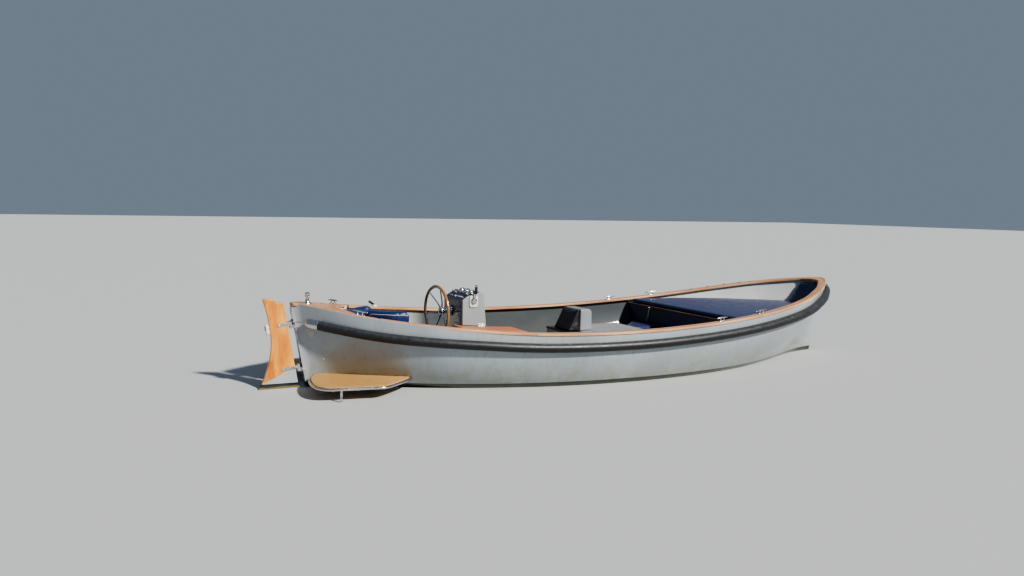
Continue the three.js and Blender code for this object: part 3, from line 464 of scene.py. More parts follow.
def piece(name, surfaces, finishes, slot, body="hull", replaces=(), sharp=35):
    """One object from surfaces: welded, faces turned outward, smooth up to the sharp angle, fixed to its
    body."""
    points, faces, uvs, tags, count = [], [], [], [], 0
    for s in surfaces:
        points.append(s["points"])
        for f, uv in zip(s["faces"], s["uvs"]):
            faces += (f + count).tolist()
            uvs.append(uv.reshape(-1, 2))
            tags.append(np.broadcast_to(s["tag"], len(f)))
        count += len(s["points"])
    mesh = bpy.data.meshes.new(name)
    mesh.from_pydata(np.concatenate(points).tolist(), [], faces)
    mesh.uv_layers.new(name="grain").data.foreach_set("uv", np.concatenate(uvs).ravel())
    for one in finishes if isinstance(finishes, (list, tuple)) else [finishes]:
        mesh.materials.append(one)
    mesh.polygons.foreach_set("material_index", np.concatenate(tags).astype(np.int32))
    work = bmesh.new()
    work.from_mesh(mesh)
    bmesh.ops.remove_doubles(work, verts=work.verts, dist=2e-5)
    bmesh.ops.dissolve_degenerate(work, edges=work.edges, dist=1e-6)
    bmesh.ops.recalc_face_normals(work, faces=work.faces)
    work.to_mesh(mesh)
    work.free()
    mesh.shade_smooth()
    mesh.set_sharp_from_angle(angle=np.radians(sharp))
    made = bpy.data.objects.new(name, mesh)
    bpy.context.collection.objects.link(made)
    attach(made, body)
    if replaces:
        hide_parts(*replaces)
    print(name, len(mesh.polygons), "faces")
    return made


def unit(v):
    """v / |v| for each row."""
    return v / np.maximum(np.linalg.norm(v, axis=-1, keepdims=True), 1e-12)


def tube(path, radius, sides=16, ref=(0, 0, 1), ends=True, closed=False, tag=0):
    """A circle carried along path (metres): centre + r(cos a * side + sin a * up), where side is square to
    the tangent and to ref. radius is a number or one per point. Its ends are rounded over by half circles."""
    path = np.asarray(path, float)
    radius = np.broadcast_to(np.asarray(radius, float), len(path))
    if closed:
        ahead = unit(np.roll(path, -1, 0) - np.roll(path, 1, 0))
    else:
        ahead = unit(np.gradient(path, axis=0))
    side = unit(np.cross(ahead, ref))
    up = np.cross(side, ahead)
    a = np.linspace(0, 2 * np.pi, sides, endpoint=False)[:, None]
    spoke = np.cos(a) * side[:, None] + np.sin(a) * up[:, None]
    rings = path[:, None] + radius[:, None, None] * spoke
    if closed:
        return loft(np.r_[rings, rings[:1]], ends=False, tag=tag)
    if ends:
        over = np.radians([80, 55, 28])
        caps = [[path[k] + way * ahead[k] * radius[k] * np.sin(t) * 0.8 + radius[k] * np.cos(t) * spoke[k]
                 for t in over] for k, way in ((0, -1), (-1, 1))]
        rings = np.r_[caps[0], rings, caps[1][::-1]]
    return loft(rings, tag=tag)


def rounded(d0, d1, z0, z1, top=7, foot=3, flat=1, steps=4):
    """Outline of a bar as rows (d, z), mm: four quarter circles joined by lines. flat is the number of
    parts of its upper side."""
    q = np.radians(np.linspace(0, 90, steps + 1))
    right = np.c_[d1 - top + top * np.cos(q), z1 - top + top * np.sin(q)]
    left = np.c_[d0 + top - top * np.cos(q[::-1]), z1 - top + top * np.sin(q[::-1])]
    inside = np.linspace(right[-1], left[0], flat + 1)[1:-1]
    low_left = np.c_[d0 + foot - foot * np.cos(q), z0 + foot - foot * np.sin(q)]
    low_right = np.c_[d1 - foot + foot * np.cos(q[::-1]), z0 + foot - foot * np.sin(q[::-1])]
    return np.r_[right, inside, left, low_left, low_right]


SIDES = (("starboard", -1), ("port", 1))
print("surface helpers ready")

# %% [markdown]
# ## Hull lines
# The hull is a table of stations: place, half beam, sheer height, keel line and fullness, in mm. The same
# table drew the CAD shell, so this finer skin lies on it. It could be modelled by hand with subdivision,
# but then each rail and cushion would have to be fitted to it by eye.

# %% Tables of the hull
STATIONS = np.array([
    (-3330, 85, 817, 30, 1.0), (-3200, 230, 795, 10, 1.02), (-3000, 420, 757, -35, 1.1),
    (-2800, 568, 722, -80, 1.22), (-2500, 738, 680, -140, 1.38), (-2200, 856, 645, -195, 1.55),
    (-1900, 942, 615, -240, 1.7), (-1500, 1035, 582, -290, 1.85), (-1000, 1112, 560, -345, 1.97),
    (-500, 1156, 555, -385, 2.0), (0, 1170, 560, -400, 2.0), (500, 1160, 578, -390, 1.9),
    (1000, 1130, 608, -365, 1.73), (1500, 1070, 652, -325, 1.5), (2000, 962, 712, -280, 1.2),
    (2400, 825, 772, -248, 0.97), (2700, 658, 825, -222, 0.8), (2900, 524, 858, -200, 0.7),
    (3100, 350, 890, -170, 0.62), (3250, 204, 911, -140, 0.58), (3322, 118, 921, -118, 0.56),
    (3358, 62, 925, -106, 0.55), (3372, 42, 926, -102, 0.55)])
STEM = [(-400, 2960), (-220, 3020), (-160, 3070), (-80, 3140), (0, 3190), (200, 3228), (430, 3266),
        (700, 3320), (950, 3372), (1200, 3400)]
AFT_END, FORE_END = -3330, 3372
WALL = 30
half_beam, sheer, keel_line, fullness = [fair(STATIONS[:, [0, k]]) for k in (1, 2, 3, 4)]
stem_x = fair(STEM)
RAKE = 0.175


def axis_x(z):
    """The rudder's axis leans aft: 175 mm for each metre up."""
    return -3285 - RAKE * z


def stern_x(z):
    """The hull ends 92 mm ahead of that axis."""
    return axis_x(z) + 92


def skin_y(x, z, inset=0):
    """Half width: k + (b - k)(1 - t^2)^(1/p), where t runs from 0 at the sheer to 1 at the keel line."""
    low = keel_line(x) + inset
    t = np.clip((sheer(x) - z) / (sheer(x) - low), 0, 1)
    b = np.maximum(half_beam(x) - inset, 16)
    k = max(40 - inset, 12)
    return np.where(b < k, b, k + (b - k) * (1 - t * t) ** (1 / fullness(x)))


def place_x(x, z):
    """Both ends rake: a sheer station slides so that the last one stands on the stem or the sternpost."""
    top = sheer(x) - 26
    return np.where(x > 0, x * stem_x(z) / stem_x(top), x * stern_x(z) / stern_x(top))


def pull(inset):
    """The share by which the lining, inset mm inside the skin, is drawn in along the boat."""
    return 1 - inset * 0.00052


def plan_normal(x):
    """Outward normal of the sheer line in plan, on the +Y side."""
    lo, hi = np.maximum(x - 2, AFT_END), np.minimum(x + 2, FORE_END)
    n = unit(np.stack([hi - lo, half_beam(hi) - half_beam(lo)], -1))
    return -n[..., 1], n[..., 0]


print("half beam along the sheer", np.round(half_beam(np.linspace(AFT_END, FORE_END, 9))).astype(int))

# %% Hull skin and lining
LEVELS = 34
lip = fair([(AFT_END, 9), (-2300, 11), (-1200, 25.5), (FORE_END, 25.5)])
rail_edge = fair([(AFT_END, -2), (-2300, -1), (-1200, 10), (FORE_END, 10)])


def hull_rows(x, inset):
    """Rings from the starboard top edge under the keel to the port one. Heights crowd towards the keel as a
    sine: z = full - (full - low) sin a."""
    x = x[:, None]
    top, full, low = sheer(x) - lip(x), sheer(x), keel_line(x) + inset
    start = np.arcsin((full - top) / (full - low))
    a = start + (np.pi / 2 - start) * np.linspace(0, 1, LEVELS + 1)[None]
    z = full - (full - low) * np.sin(a)
    y = skin_y(x, z, inset)
    px = place_x(x, np.minimum(z, top)) * pull(inset)
    starboard = np.stack([px, -y, z], -1)
    return np.concatenate([starboard, (starboard * (1, -1, 1))[:, ::-1]], 1)


spacing = np.array([
    AFT_END, -3285, -3220, -3140, -3040, -2930, -2800, -2650, -2480, -2300, -2110, -1900, -1680, -1440,
    -1180, -900, -600, -300, 0, 300, 600, 900, 1180, 1440, 1680, 1900, 2110, 2300, 2470, 2620, 2750, 2860,
    2955, 3040, 3115, 3180, 3235, 3278, 3312, 3338, 3358, FORE_END], float)
hull_x = np.interp(np.arange(0, 41.01, 0.25), np.arange(42), spacing)
rings = np.concatenate([hull_rows(hull_x, 0), hull_rows(hull_x, WALL)[:, ::-1]], 1)
closing = [(0.97, 3), (0.86, 6), (0.6, 8), (0.3, 9), (0, 9)]
bow = [rings[-1] * (1, w, 1) + (ahead, 0, 0) for w, ahead in closing]
first_x, first_y, first_z = rings[0].T
count = 2 * (LEVELS + 1)
outside = np.arange(len(first_x)) < count
post_end = np.where(first_z < 715, axis_x(first_z) + 28, -3395.0)
stern = []
for back, width in ((11, 0), (11, 36), (8.5, 41), (3, 43.4), (0, 44), (-9, 44.5)):
    y = np.sign(first_y) * np.minimum(np.abs(first_y) - 0.5, width) if width else first_y * 0
    px = np.minimum(post_end + 11 - back, first_x)
    stern.append(np.stack([np.where(outside, px, first_x - 2), np.where(outside, y, 0), first_z], -1))
rings = np.concatenate([stern, rings, bow]) / 1000
hull_skin = loft(rings, ends=False)
hull_skin["tag"] = np.tile(np.r_[np.zeros(count - 1), np.ones(count + 1)], len(rings) - 1)
piece("hull_skin", [hull_skin], [hull_gelcoat, side_lining], slot="hull_paint", replaces=["hull_shell"],
      sharp=40)

# %% [markdown]
# ## Deck edge
# Teak rails cap the hull's edge: bars 95 mm wide and 25 mm thick with rounded upper edges, bent to the
# sheer and scarfed end to end. The joints show as fine dark lines, so each rail is made of separate lengths
# with a hairline between them. The bow cap and the aft deck widen the same edge.

# %% Rails
DECK_BREAK = -2721
INWARD, OUTWARD, THICK = 85, 10, 25


def rail(side, start, stop):
    """The bar's outline stands on the sheer line's plan normal at each station."""
    x = np.linspace(start, stop, max(int((stop - start) / 32), 8))[:, None]
    nx, ny = plan_normal(x)
    d, z = rounded(-INWARD, OUTWARD, -THICK, 0, 7, 3, 2).T
    d = np.where(d > -30, d - OUTWARD + rail_edge(x), d)
    px = x + nx * d
    return loft(np.stack([px, side * (half_beam(x) + ny * d), sheer(px) + z], -1) / 1000)


for name, side in SIDES:
    joints = [DECK_BREAK + 2, -1310, 60, 1440, 2749]
    lengths = [rail(side, a + 0.6, b - 0.6) for a, b in zip(joints[:-1], joints[1:])]
    piece(f"rail_{name}", lengths, rail_teak, slot="teak", replaces=[f"cap_rail_{name}"])


# %% Bow cap and aft deck
def edge_deck(outer, inner, samples=150, joints=(0, 1)):
    """Plate between the sheer's edge and an inner curve, both at even steps, with its edges rounded."""
    line, inner = even(outer, samples), even(inner, samples)
    across = np.linalg.norm(inner - line, axis=1)[:, None]
    way = ((inner - line) / across)[:, None]
    parts = []
    for a, b in zip(joints[:-1], joints[1:]):
        rows = slice(int(a * (samples - 1)), int(b * (samples - 1)) + 1)
        section, z = rounded(0, 1000, -THICK, 0, 7, 3, 6).T
        middle = np.where(section > 992, across[rows] - 1000 + section, section / 1000 * across[rows])
        d = np.where(section < 8, section, middle)
        xy = line[rows, None] + way[rows] * d[..., None]
        parts.append(loft(np.stack([xy[..., 0], xy[..., 1], sheer(xy[..., 0]) + z], -1) / 1000))
    return parts


def sheer_edge(x, side):
    """The rails' outer edge in plan."""
    x = np.array(x, float)
    nx, ny = plan_normal(x)
    out = rail_edge(x)
    return np.stack([x + nx * out, side * (half_beam(x) + ny * out)], -1)


bow_x = [2751, 2860, 2955, 3040, 3115, 3180, 3235, 3278, 3312, 3338, 3358]
bow_edge = np.r_[sheer_edge(bow_x, -1), [[3383, -30], [3383, 30]], sheer_edge(bow_x, 1)[::-1]]
inside_x = np.array(bow_x[:7], float)
nx, ny = plan_normal(inside_x)
bow_inner = np.stack([inside_x - INWARD * nx, half_beam(inside_x) - INWARD * ny], -1)
bow_inner = np.r_[bow_inner, [[3207, 96], [3219, 58], [3225, 28], [3227, 8]]]
bow_parts = edge_deck(bow_edge, np.r_[bow_inner * (1, -1), bow_inner[::-1]], joints=(0, 0.5, 1))
piece("bow_cap_teak", bow_parts, rail_teak, slot="teak", replaces=["bow_cap"])
quarter_x = [DECK_BREAK, -2800, -2930, -3040, -3140, -3220, -3285, AFT_END]
stern_edge = np.r_[sheer_edge(quarter_x, -1), [[-3391, -50], [-3391, 50]], sheer_edge(quarter_x, 1)[::-1]]
angle = np.pi * np.linspace(0, 1, 150) - np.pi / 2
inner_back = DECK_BREAK - 165 * np.maximum(np.cos(angle), 0) ** 0.9
stern_inner = np.stack([inner_back, (half_beam(DECK_BREAK) - INWARD) * np.sin(angle)], -1)
piece("aft_deck_teak", edge_deck(stern_edge, stern_inner), rail_teak, slot="teak", replaces=["aft_deck"])

# %% [markdown]
# ## Fender
# A round rubber fender runs right round the hull below the rail and swells towards the bow. It is a circle
# carried along the hull's own line, half sunk into it. Each end sits in a polished cup with a stay rod to
# the sternpost.

# %% Rubber fender
fender_r = fair([(-3400, 44), (-2000, 45), (0, 46), (1500, 48), (FORE_END, 60)])
fender_drop = fair([
    (-3400, 178), (-2700, 170), (-2200, 155), (-1700, 143), (-1000, 140), (0, 140), (1500, 143), (2400, 148),
    (3000, 139), (FORE_END, 128)])


def fender_line(x, side):
    """Half a radius out from the skin along its plan normal, 128 to 178 mm below the sheer."""
    x = np.asarray(x, float)
    r = fender_r(x)
    z = sheer(x) - fender_drop(x)
    lo, hi = np.maximum(x - 3, AFT_END), np.minimum(x + 3, FORE_END)
    along_x, along_y = unit(np.stack([hi - lo, skin_y(hi, z) - skin_y(lo, z)], -1)).T * r * 0.5
    return np.stack([place_x(x, z) - along_y, side * (skin_y(x, z) + along_x), z], -1)


fender_x = [
    -3195, -3130, -3060, -2970, -2850, -2690, -2500, -2290, -2060, -1800, -1500, -1150, -780, -400, 0, 400,
    780, 1150, 1480, 1780, 2050, 2290, 2500, 2680, 2830, 2950, 3050, 3135, 3200, 3250, 3290, 3322, 3344]
fender_mid = [[3379, 0, sheer(FORE_END) - 128]]
fender_path = bend(np.r_[fender_line(fender_x, -1), fender_mid, fender_line(fender_x, 1)[::-1]], 420)
fender_tube = tube(fender_path / 1000, fender_r(fender_path[:, 0]) / 1000, 28)
piece("rubber_fender", [fender_tube], rubber, slot="rope_fender", replaces=["fender"])

# %% Fender cups and stay rods
CUP_FORE, CUP_AFT = -3199, -3273


def lathe(path_a, path_b, profile, sides=28, tag=0):
    """Profile rows (share of the way from a to b, radius in metres) turned round the line a to b."""
    a, b = np.asarray(path_a, float), np.asarray(path_b, float)
    share, radius = np.asarray(profile, float).T
    axis = unit(b - a)
    helper = np.array([0, 0, 1.0]) if abs(axis[2]) < 0.8 else np.array([0, 1.0, 0])
    side = unit(np.cross(axis, helper))
    up = np.cross(side, axis)
    t = np.linspace(0, 2 * np.pi, sides, endpoint=False)
    spoke = np.cos(t)[:, None] * side + np.sin(t)[:, None] * up
    centre = a + share[:, None] * (b - a)
    return loft(centre[:, None] + radius[:, None, None] * spoke[None], tag=tag)


for name, side in SIDES:
    a = fender_line(CUP_FORE, side) / 1000
    b = fender_line(CUP_AFT, side) / 1000
    cup = [
        (-0.12, 0.004), (-0.12, 0.0462), (-0.08, 0.0488), (0.0, 0.0488), (0.05, 0.047), (0.12, 0.046),
        (0.2, 0.0475), (0.8, 0.047), (1.0, 0.0435), (1.15, 0.034), (1.27, 0.022), (1.34, 0.01),
        (1.36, 0.001)]
    rod = [a + (b - a) * 1.2, (-3.385, side * 0.048, a[2] + 0.018), (-3.372, side * 0.049, a[2] + 0.022)]
    foot = lathe((-3.372, side * 0.0425, a[2] + 0.022), (-3.372, side * 0.052, a[2] + 0.022),
                 [(0, 0.001), (0, 0.014), (0.7, 0.014), (1, 0.011), (1.05, 0.001)])
    piece(f"fender_cup_{name}", [lathe(a, b, cup), tube(rod, 0.006, 12), foot], stainless, slot="stainless",
          replaces=[f"fender_end_{name}"])

# %% [markdown]
# ## Swim platforms
# Teak strips 45 mm wide lie on a polished tube frame, just above the water. Each strip is its own closed
# bar: its section is a rounded rectangle, and its two ends follow the frame's curve on one side and the
# hull on the other.

# %% Platform strips and frame
PLATFORM = np.array([
    (-3205, 95), (-3262, 210), (-3296, 330), (-3316, 470), (-3318, 590), (-3296, 690), (-3235, 762),
    (-3120, 795), (-2990, 812), (-2850, 832), (-2745, 846), (-2680, 820), (-2610, 765), (-2530, 695),
    (-2440, 610), (-2360, 520)])
LEG = [(-3120, 794, 115), (-3118, 790, -20), (-3095, 750, -95), (-2840, 330, -90), (-2740, 120, -20)]
rim_line = bend(PLATFORM, 160)
MIDDLE, RIM_HALF, RIM_Z = (-2860, 480), 15, 115.0
away = rim_line - MIDDLE
board_line = MIDDLE + away * (1 - RIM_HALF / np.linalg.norm(away, axis=1, keepdims=True))
widest = int(np.argmax(board_line[:, 1]))
water_x = np.linspace(AFT_END, -1600, 240)
water_y = skin_y(water_x, 120.0)
water_px = place_x(water_x, 120.0)


def strip_ends(y):
    """Aft end on the frame's aft curve; fore end where the strip meets the frame again, or 2 mm short of the
    hull."""
    aft = np.interp(y, board_line[:widest, 1], board_line[:widest, 0])
    fore = np.interp(y, board_line[widest:, 1][::-1], board_line[widest:, 0][::-1])
    return aft, np.minimum(fore, np.interp(y, water_y, water_px) - 2)


def platform_strip(y0, y1, side, z0=108, z1=132):
    """Section rows (y, z) swept from the aft end to the fore end at each y; the ends are eased by 3 mm."""
    y, z = rounded(y0, y1, z0, z1, 3, 1.5, 1, 3).T
    aft, fore = strip_ends(y)
    share = np.r_[0, 0.004, np.linspace(0.02, 0.98, 9), 0.996, 1][:, None]
    drop = np.where(z > (z0 + z1) / 2, 1, 0) * np.where((share < 0.001) | (share > 0.999), 2.5, 0)
    x = aft + share * (fore - aft)
    return loft(np.stack([x, np.broadcast_to(side * y, x.shape), z - drop], -1) / 1000)


STRIP, OUTERMOST = 45.4, 829
strip_y = np.arange(78, 836, 47.0)
for name, side in SIDES:
    strips = [platform_strip(y, min(y + STRIP, OUTERMOST), side) for y in strip_y if OUTERMOST - y > 12]
    piece(f"platform_teak_{name}", strips, deck_teak, slot="teak", replaces=[f"platform_board_{name}"])
    inside = rim_line[:, 1] < np.interp(rim_line[:, 0], water_px, water_y) - 9
    keep = rim_line[~inside]
    parts = [tube(np.c_[keep[:, 0], side * keep[:, 1], np.full(len(keep), RIM_Z)] / 1000, 0.013, 18)]
    for x, y in ((-3180, 748), (-2960, 782), (-2720, 800), (-2520, 652)):
        inner = np.interp(x + 20, water_px, water_y) - 8
        bar = np.linspace((x, side * y, 97.5), (x + 30, side * inner, 97.5), 8)
        parts.append(tube(bar / 1000, 0.0095, 14))
    parts.append(tube(bend([(x, side * y, z) for x, y, z in LEG], 60) / 1000, 0.012, 16))
    for x, y in ((-3186, 150), (-2412, 604)):
        pin = [(x, side * y, 112), (x, side * y, 140), (x, side * y, 158)]
        parts.append(tube(bend(pin, 8) / 1000, 0.008, 14))
    piece(f"platform_tubes_{name}", parts, stainless, slot="stainless", replaces=[f"platform_frame_{name}"])
print(len(strip_y), "strips a side")

# %% [markdown]
# ## Rudder
# The rudder is a varnished board 40 mm thick with eased edges and a painted foot. Its outline is two
# curves, the leading and the trailing edge. The blade is ruled between them at each level, and thins over
# the last 10 mm.

# %% Rudder blade
front_z = np.array([-440, -220, 0, 200, 400, 620, 800])
head = [[-3521, 822], [-3546, 838], [-3580, 856.5]]
leading = np.r_[[[-3300, -466]], np.c_[axis_x(front_z) - 36, front_z], head]
trailing = np.array([
    (-3560, -470), (-3740, -440), (-3800, -340), (-3805, -200), (-3785, -100), (-3757, -50), (-3722, -15),
    (-3690, 20), (-3655, 80), (-3627, 165), (-3598, 270), (-3584, 360), (-3580, 450), (-3587, 540),
    (-3602, 640), (-3624, 740), (-3645, 815), (-3656, 851), (-3622, 857)])
levels = 120
lead, trail = even(leading, levels), even(trailing, levels)
edge = np.array([0, 0.8, 2.5, 5, 8, 11])
ROUND = 9.5
half = 20 - ROUND + np.where(edge < ROUND, np.sqrt(np.clip(ROUND**2 - (ROUND - edge) ** 2, 0, None)), ROUND)
wide = np.linalg.norm(trail - lead, axis=1)[:, None]
between = np.linspace(0, 1, 12)[None, 1:-1] * (wide - 22) + 11
inward = np.concatenate([np.broadcast_to(edge, (levels, 6)), between, wide - edge[::-1]], 1)
thick = np.r_[half, np.full(10, 20.0), half[::-1]]
ease = np.r_[0.62, 0.93, np.ones(levels - 4), 0.93, 0.62]
flat_points = lead[:, None] + (trail - lead)[:, None] / wide[..., None] * inward[..., None]
near = np.stack([flat_points[..., 0], -thick * ease[:, None], flat_points[..., 1]], -1)
far = (near * (1, -1, 1))[:, ::-1]
piece("rudder_board", [loft(np.concatenate([near, far], 1) / 1000)], rudder_wood, body="rudder",
      slot="rudder_wood", replaces=["rudder_blade"], sharp=50)

# %% Strap bolts and trailing-edge clip
LEAN = np.arctan(RAKE)


def on_axis(u, y, w, z):
    """A point u aft, y across and w up the leaning axis from its point at height z, in metres."""
    x = axis_x(z) + u * np.cos(LEAN) - w * np.sin(LEAN)
    return np.array([x, y, z + u * np.sin(LEAN) + w * np.cos(LEAN)]) / 1000


def bolt(centre, out, radius=0.007, height=0.004):
    """A domed head: the radius falls as the cosine while the height rises as the sine."""
    t = np.radians([0, 0, 25, 50, 72, 86])
    rows = np.c_[np.r_[-0.3, np.sin(t[1:])], radius * np.cos(t)]
    return lathe(centre, centre + np.multiply(out, height), rows, 14)


heads = []
for z, reach, places in ((622, 125, (-48, -80, -111)), (205, 165, (-48, -84, -118, -150))):
    heads += [bolt(on_axis(u, side * 25.4, 0, z), (0, side, 0)) for u in places for side in (-1, 1)]
    for side in (-1, 1):
        ends = [on_axis(-reach - 1, side * 22.9, -14.5, z), on_axis(-reach - 1, side * 22.9, 14.5, z)]
        heads.append(tube(np.linspace(ends[0], ends[1], 6), 0.0028, 10))
piece("rudder_bolts", heads, stainless, body="rudder", slot="stainless")
clip_z = np.linspace(528, 602, 12)
clip_x = np.interp(clip_z, trailing[3:, 1], trailing[3:, 0])
clip = tube(np.c_[clip_x - 22, clip_z * 0, clip_z] / 1000, 0.017, 16)
roots = [(np.interp(z, trailing[3:, 1], trailing[3:, 0]), 0, z) for z in (545, 586)]
stems = [tube(np.linspace(np.add(root, (8, 0, 0)), np.add(root, (-20, 0, 0)), 5) / 1000, 0.009, 10)
         for root in roots]
cap = tube(np.c_[clip_x[:6] - 39, clip_z[:6] * 0, clip_z[3:9] + 14] / 1000, 0.009, 12, tag=1)
piece("rudder_clip", [clip, cap, *stems], [white_plastic, rubber], body="rudder", slot="stainless")

# %% [markdown]
# ## Deck fittings
# Cleats, the cross bollard and the side lights are cast and polished. Each is a few turned or tapered bars
# that run into each other: a horn that thins to its tips, two legs that flare, and a thin foot screwed to
# the rail.

# %% Cleats
def cleat(x, inward, half, lift, side):
    """The horn's radius falls from 10 to 5 mm; the legs flare where they meet the horn and the foot."""
    y = side * (half_beam(x) - inward)
    slope = (sheer(x + 50) - sheer(x - 50)) / 100
    turn = np.arctan((half_beam(x + 50) - half_beam(x - 50)) / 100) * side
    ahead = np.array([np.cos(turn), np.sin(turn), slope])
    foot_middle = np.array([x, y, sheer(x) + lift])

    def at(u, w, v=0):
        """u along the cleat, w up and v across it, mm, from the middle of its foot."""
        return (foot_middle + np.multiply.outer(u, ahead) + np.multiply.outer(w, (0, 0, 1))
                + np.multiply.outer(v, (-np.sin(turn), np.cos(turn), 0))) / 1000

    u = np.linspace(-half, half, 21)
    taper = (10 - 5.4 * np.abs(u / half) ** 1.4) / 1000
    horn = tube(at(u, 37 - 3.5 * (u / half) ** 4), taper, 16, ref=(0, 0.3, 1))
    w = np.linspace(3, 34, 8)
    flare = (6.4 + 3.4 * np.abs((w - 19) / 16) ** 3) / 1000
    legs = [tube(at(np.full(8, p), w), flare, 14, ref=(1, 0, 0), ends=False) for p in (-24, 24)]
    d, z = rounded(-13, 13, 0, 6, 3.5, 1, 1, 3).T
    long = np.array([-50, -49, -46, -40, 40, 46, 49, 50])
    trim = np.sqrt(np.clip(1 - ((np.abs(long) - 38) / 12.5).clip(0) ** 2, 0.05, 1))
    foot = loft(at(long[:, None] + d * 0, z + long[:, None] * 0, d * trim[:, None]))
    screws = [bolt(at(np.float64(p), 5.6), (0, 0, 1), 0.0042, 0.0015) for p in (-38, 38)]
    return [horn, *legs, foot, *screws]


CLEATS = [("fore", 1470, 40, 85, 0.8), ("mid", 880, 40, 70, 0.8), ("aft", -2860, 42, 70, 2.0)]
for kind, *numbers in CLEATS:
    for name, side in SIDES:
        piece(f"horn_cleat_{kind}_{name}", cleat(*numbers, side), stainless, slot="stainless",
              replaces=[f"cleat_{kind}_{name}"])

# %% Cross bollard
post_x = -3.236
deck_top = float(sheer(-3236)) / 1000
rows = [
    (0, 0.002), (0, 0.041), (0.035, 0.0425), (0.07, 0.041), (0.1, 0.034), (0.13, 0.024), (0.2, 0.0195),
    (0.45, 0.0175), (0.72, 0.0175), (0.78, 0.0215), (0.84, 0.0235), (0.91, 0.0225), (0.97, 0.016),
    (1.0, 0.001)]
post = lathe((post_x, 0, deck_top - 0.002), (post_x, 0, deck_top + 0.111), rows, 32)
y = np.linspace(-0.066, 0.066, 23)
swell = 0.0088 + 0.004 * np.exp(-((np.abs(y) - 0.058) / 0.006) ** 2)
bar = tube(np.stack([post_x + y * 0, y, y * 0 + deck_top + 0.072], -1), swell, 18)
screws = [bolt((post_x + 0.033 * np.cos(a), 0.033 * np.sin(a), deck_top + 0.0088), (0, 0, 1), 0.005, 0.002)
          for a in np.radians([45, 135, 225, 315])]
piece("bollard_cast", [post, bar, *screws], stainless, slot="stainless", replaces=["cross_bollard"])

# %% Side lights
def lens_plastic(name, colour):
    """Ribbed acrylic over a dark lamp: strong colour, high gloss and soft upright ribs about 10 mm apart."""
    f = Finish(name, Roughness=0.12, Coat_Weight=0.8, Coat_Roughness=0.05)
    waves = {"Vector": f.place(), "Scale": 30.0, "Distortion": 0.4}
    ribs = f.add("ShaderNodeTexWave", waves, "Fac", bands_direction="X")
    deep = linear(colour)
    f.wear(f.blend(ribs, tuple(0.55 * c for c in deep[:3]) + (1,), deep))
    f.relief(ribs, 0.0008, 0.6)
    return f.material


red_lens = lens_plastic("red_lamp_lens", "A81420")
green_lens = lens_plastic("green_lamp_lens", "0E7A45")
light_x = 3165
light_z = float(sheer(light_x)) - 52
for name, side, lens in (("starboard", -1, green_lens), ("port", 1, red_lens)):
    y = side * float(skin_y(light_x, light_z))
    inner = np.array([light_x - 14, y - side * 19, light_z]) / 1000
    outer = np.array([light_x + 26, y + side * 26, light_z]) / 1000
    shell = lathe(inner, outer, [
        (0, 0.002), (0, 0.0165), (0.7, 0.0165), (0.72, 0.0195), (0.8, 0.0205), (0.9, 0.02), (0.95, 0.0165),
        (0.9, 0.0135), (0.86, 0.0005)], 28)
    glass = lathe(inner, outer, [
        (0.84, 0.002), (0.84, 0.0132), (0.95, 0.013), (1.02, 0.0115), (1.08, 0.008), (1.12, 0.0042),
        (1.13, 0.0004)], 24, tag=1)
    piece(f"side_light_{name}", [shell, glass], [stainless, lens], slot="stainless",
          replaces=[f"nav_light_{name}"])


# %% Round outlet plate on the starboard quarter
def hull_spot(x, z):
    """A point of the starboard skin, mm."""
    return np.array([float(place_x(x, z)), -float(skin_y(x, z)), z])


OUTLET_Z, OUTLET_HALF_WIDTH, STEP = 539.0, 128, 4
station = float(np.interp(OUTLET_HALF_WIDTH, skin_y(water_x, OUTLET_Z), water_x))
spot = hull_spot(station, OUTLET_Z)
out = unit(np.cross(hull_spot(station + STEP, OUTLET_Z) - spot, hull_spot(station, OUTLET_Z + STEP) - spot))
out = -out if out[1] > 0 else out
centre = spot / 1000
plate = lathe(centre - out * 0.004, centre + out * 0.004, [
    (0, 0.002), (0, 0.049), (0.7, 0.049), (0.95, 0.046), (1.0, 0.043), (0.75, 0.041), (0.75, 0.036),
    (0.9, 0.034), (0.95, 0.001)], 40)
ring = np.linspace(0, 2 * np.pi, 4, endpoint=False) + 0.7
up = unit(np.cross(out, (0, 0, 1.0)))
across = np.cross(out, up)
screws = [bolt(centre + out * 0.0035 + 0.0445 * (np.cos(a) * up + np.sin(a) * across), out, 0.0025, 0.001)
          for a in ring]
piece("quarter_outlet_plate", [plate, *screws], deck_grey, slot="moulding")

# %% [markdown]
# ## Helm
# The helm stands on a piece of side deck: a moulded grey console with a dark aft face, five gauges in
# polished bezels on its sloping top, a row of switches on its brow, and the throttle on its starboard side.
# The wheel has a varnished rim with a polished inner band, and six tapered spokes.

# %% Bevelled slabs
def slab(profile, y0, y1):
    """A side profile (x, z) in mm carried from y0 to y1."""
    p = np.asarray(profile, float)
    return loft(np.array([np.c_[p[:, 0], np.full(len(p), y), p[:, 1]] for y in (y0, y1)]) / 1000)


def block(x0, x1, y0, y1, z0, z1):
    """A box between the given sides, mm."""
    return slab([(x0, z0), (x1, z0), (x1, z1), (x0, z1)], y0, y1)


def moulded(name, surfaces, coat, slot, width, segments=4, **more):
    """A piece whose edges sharper than 30 degrees are rounded by width metres."""
    edge = piece(name, surfaces, coat, slot, sharp=30, **more).modifiers.new("rounded_edges", "BEVEL")
    edge.width = width
    edge.segments = segments
    edge.limit_method = "ANGLE"
    edge.angle_limit = np.radians(30)
    edge.harden_normals = True


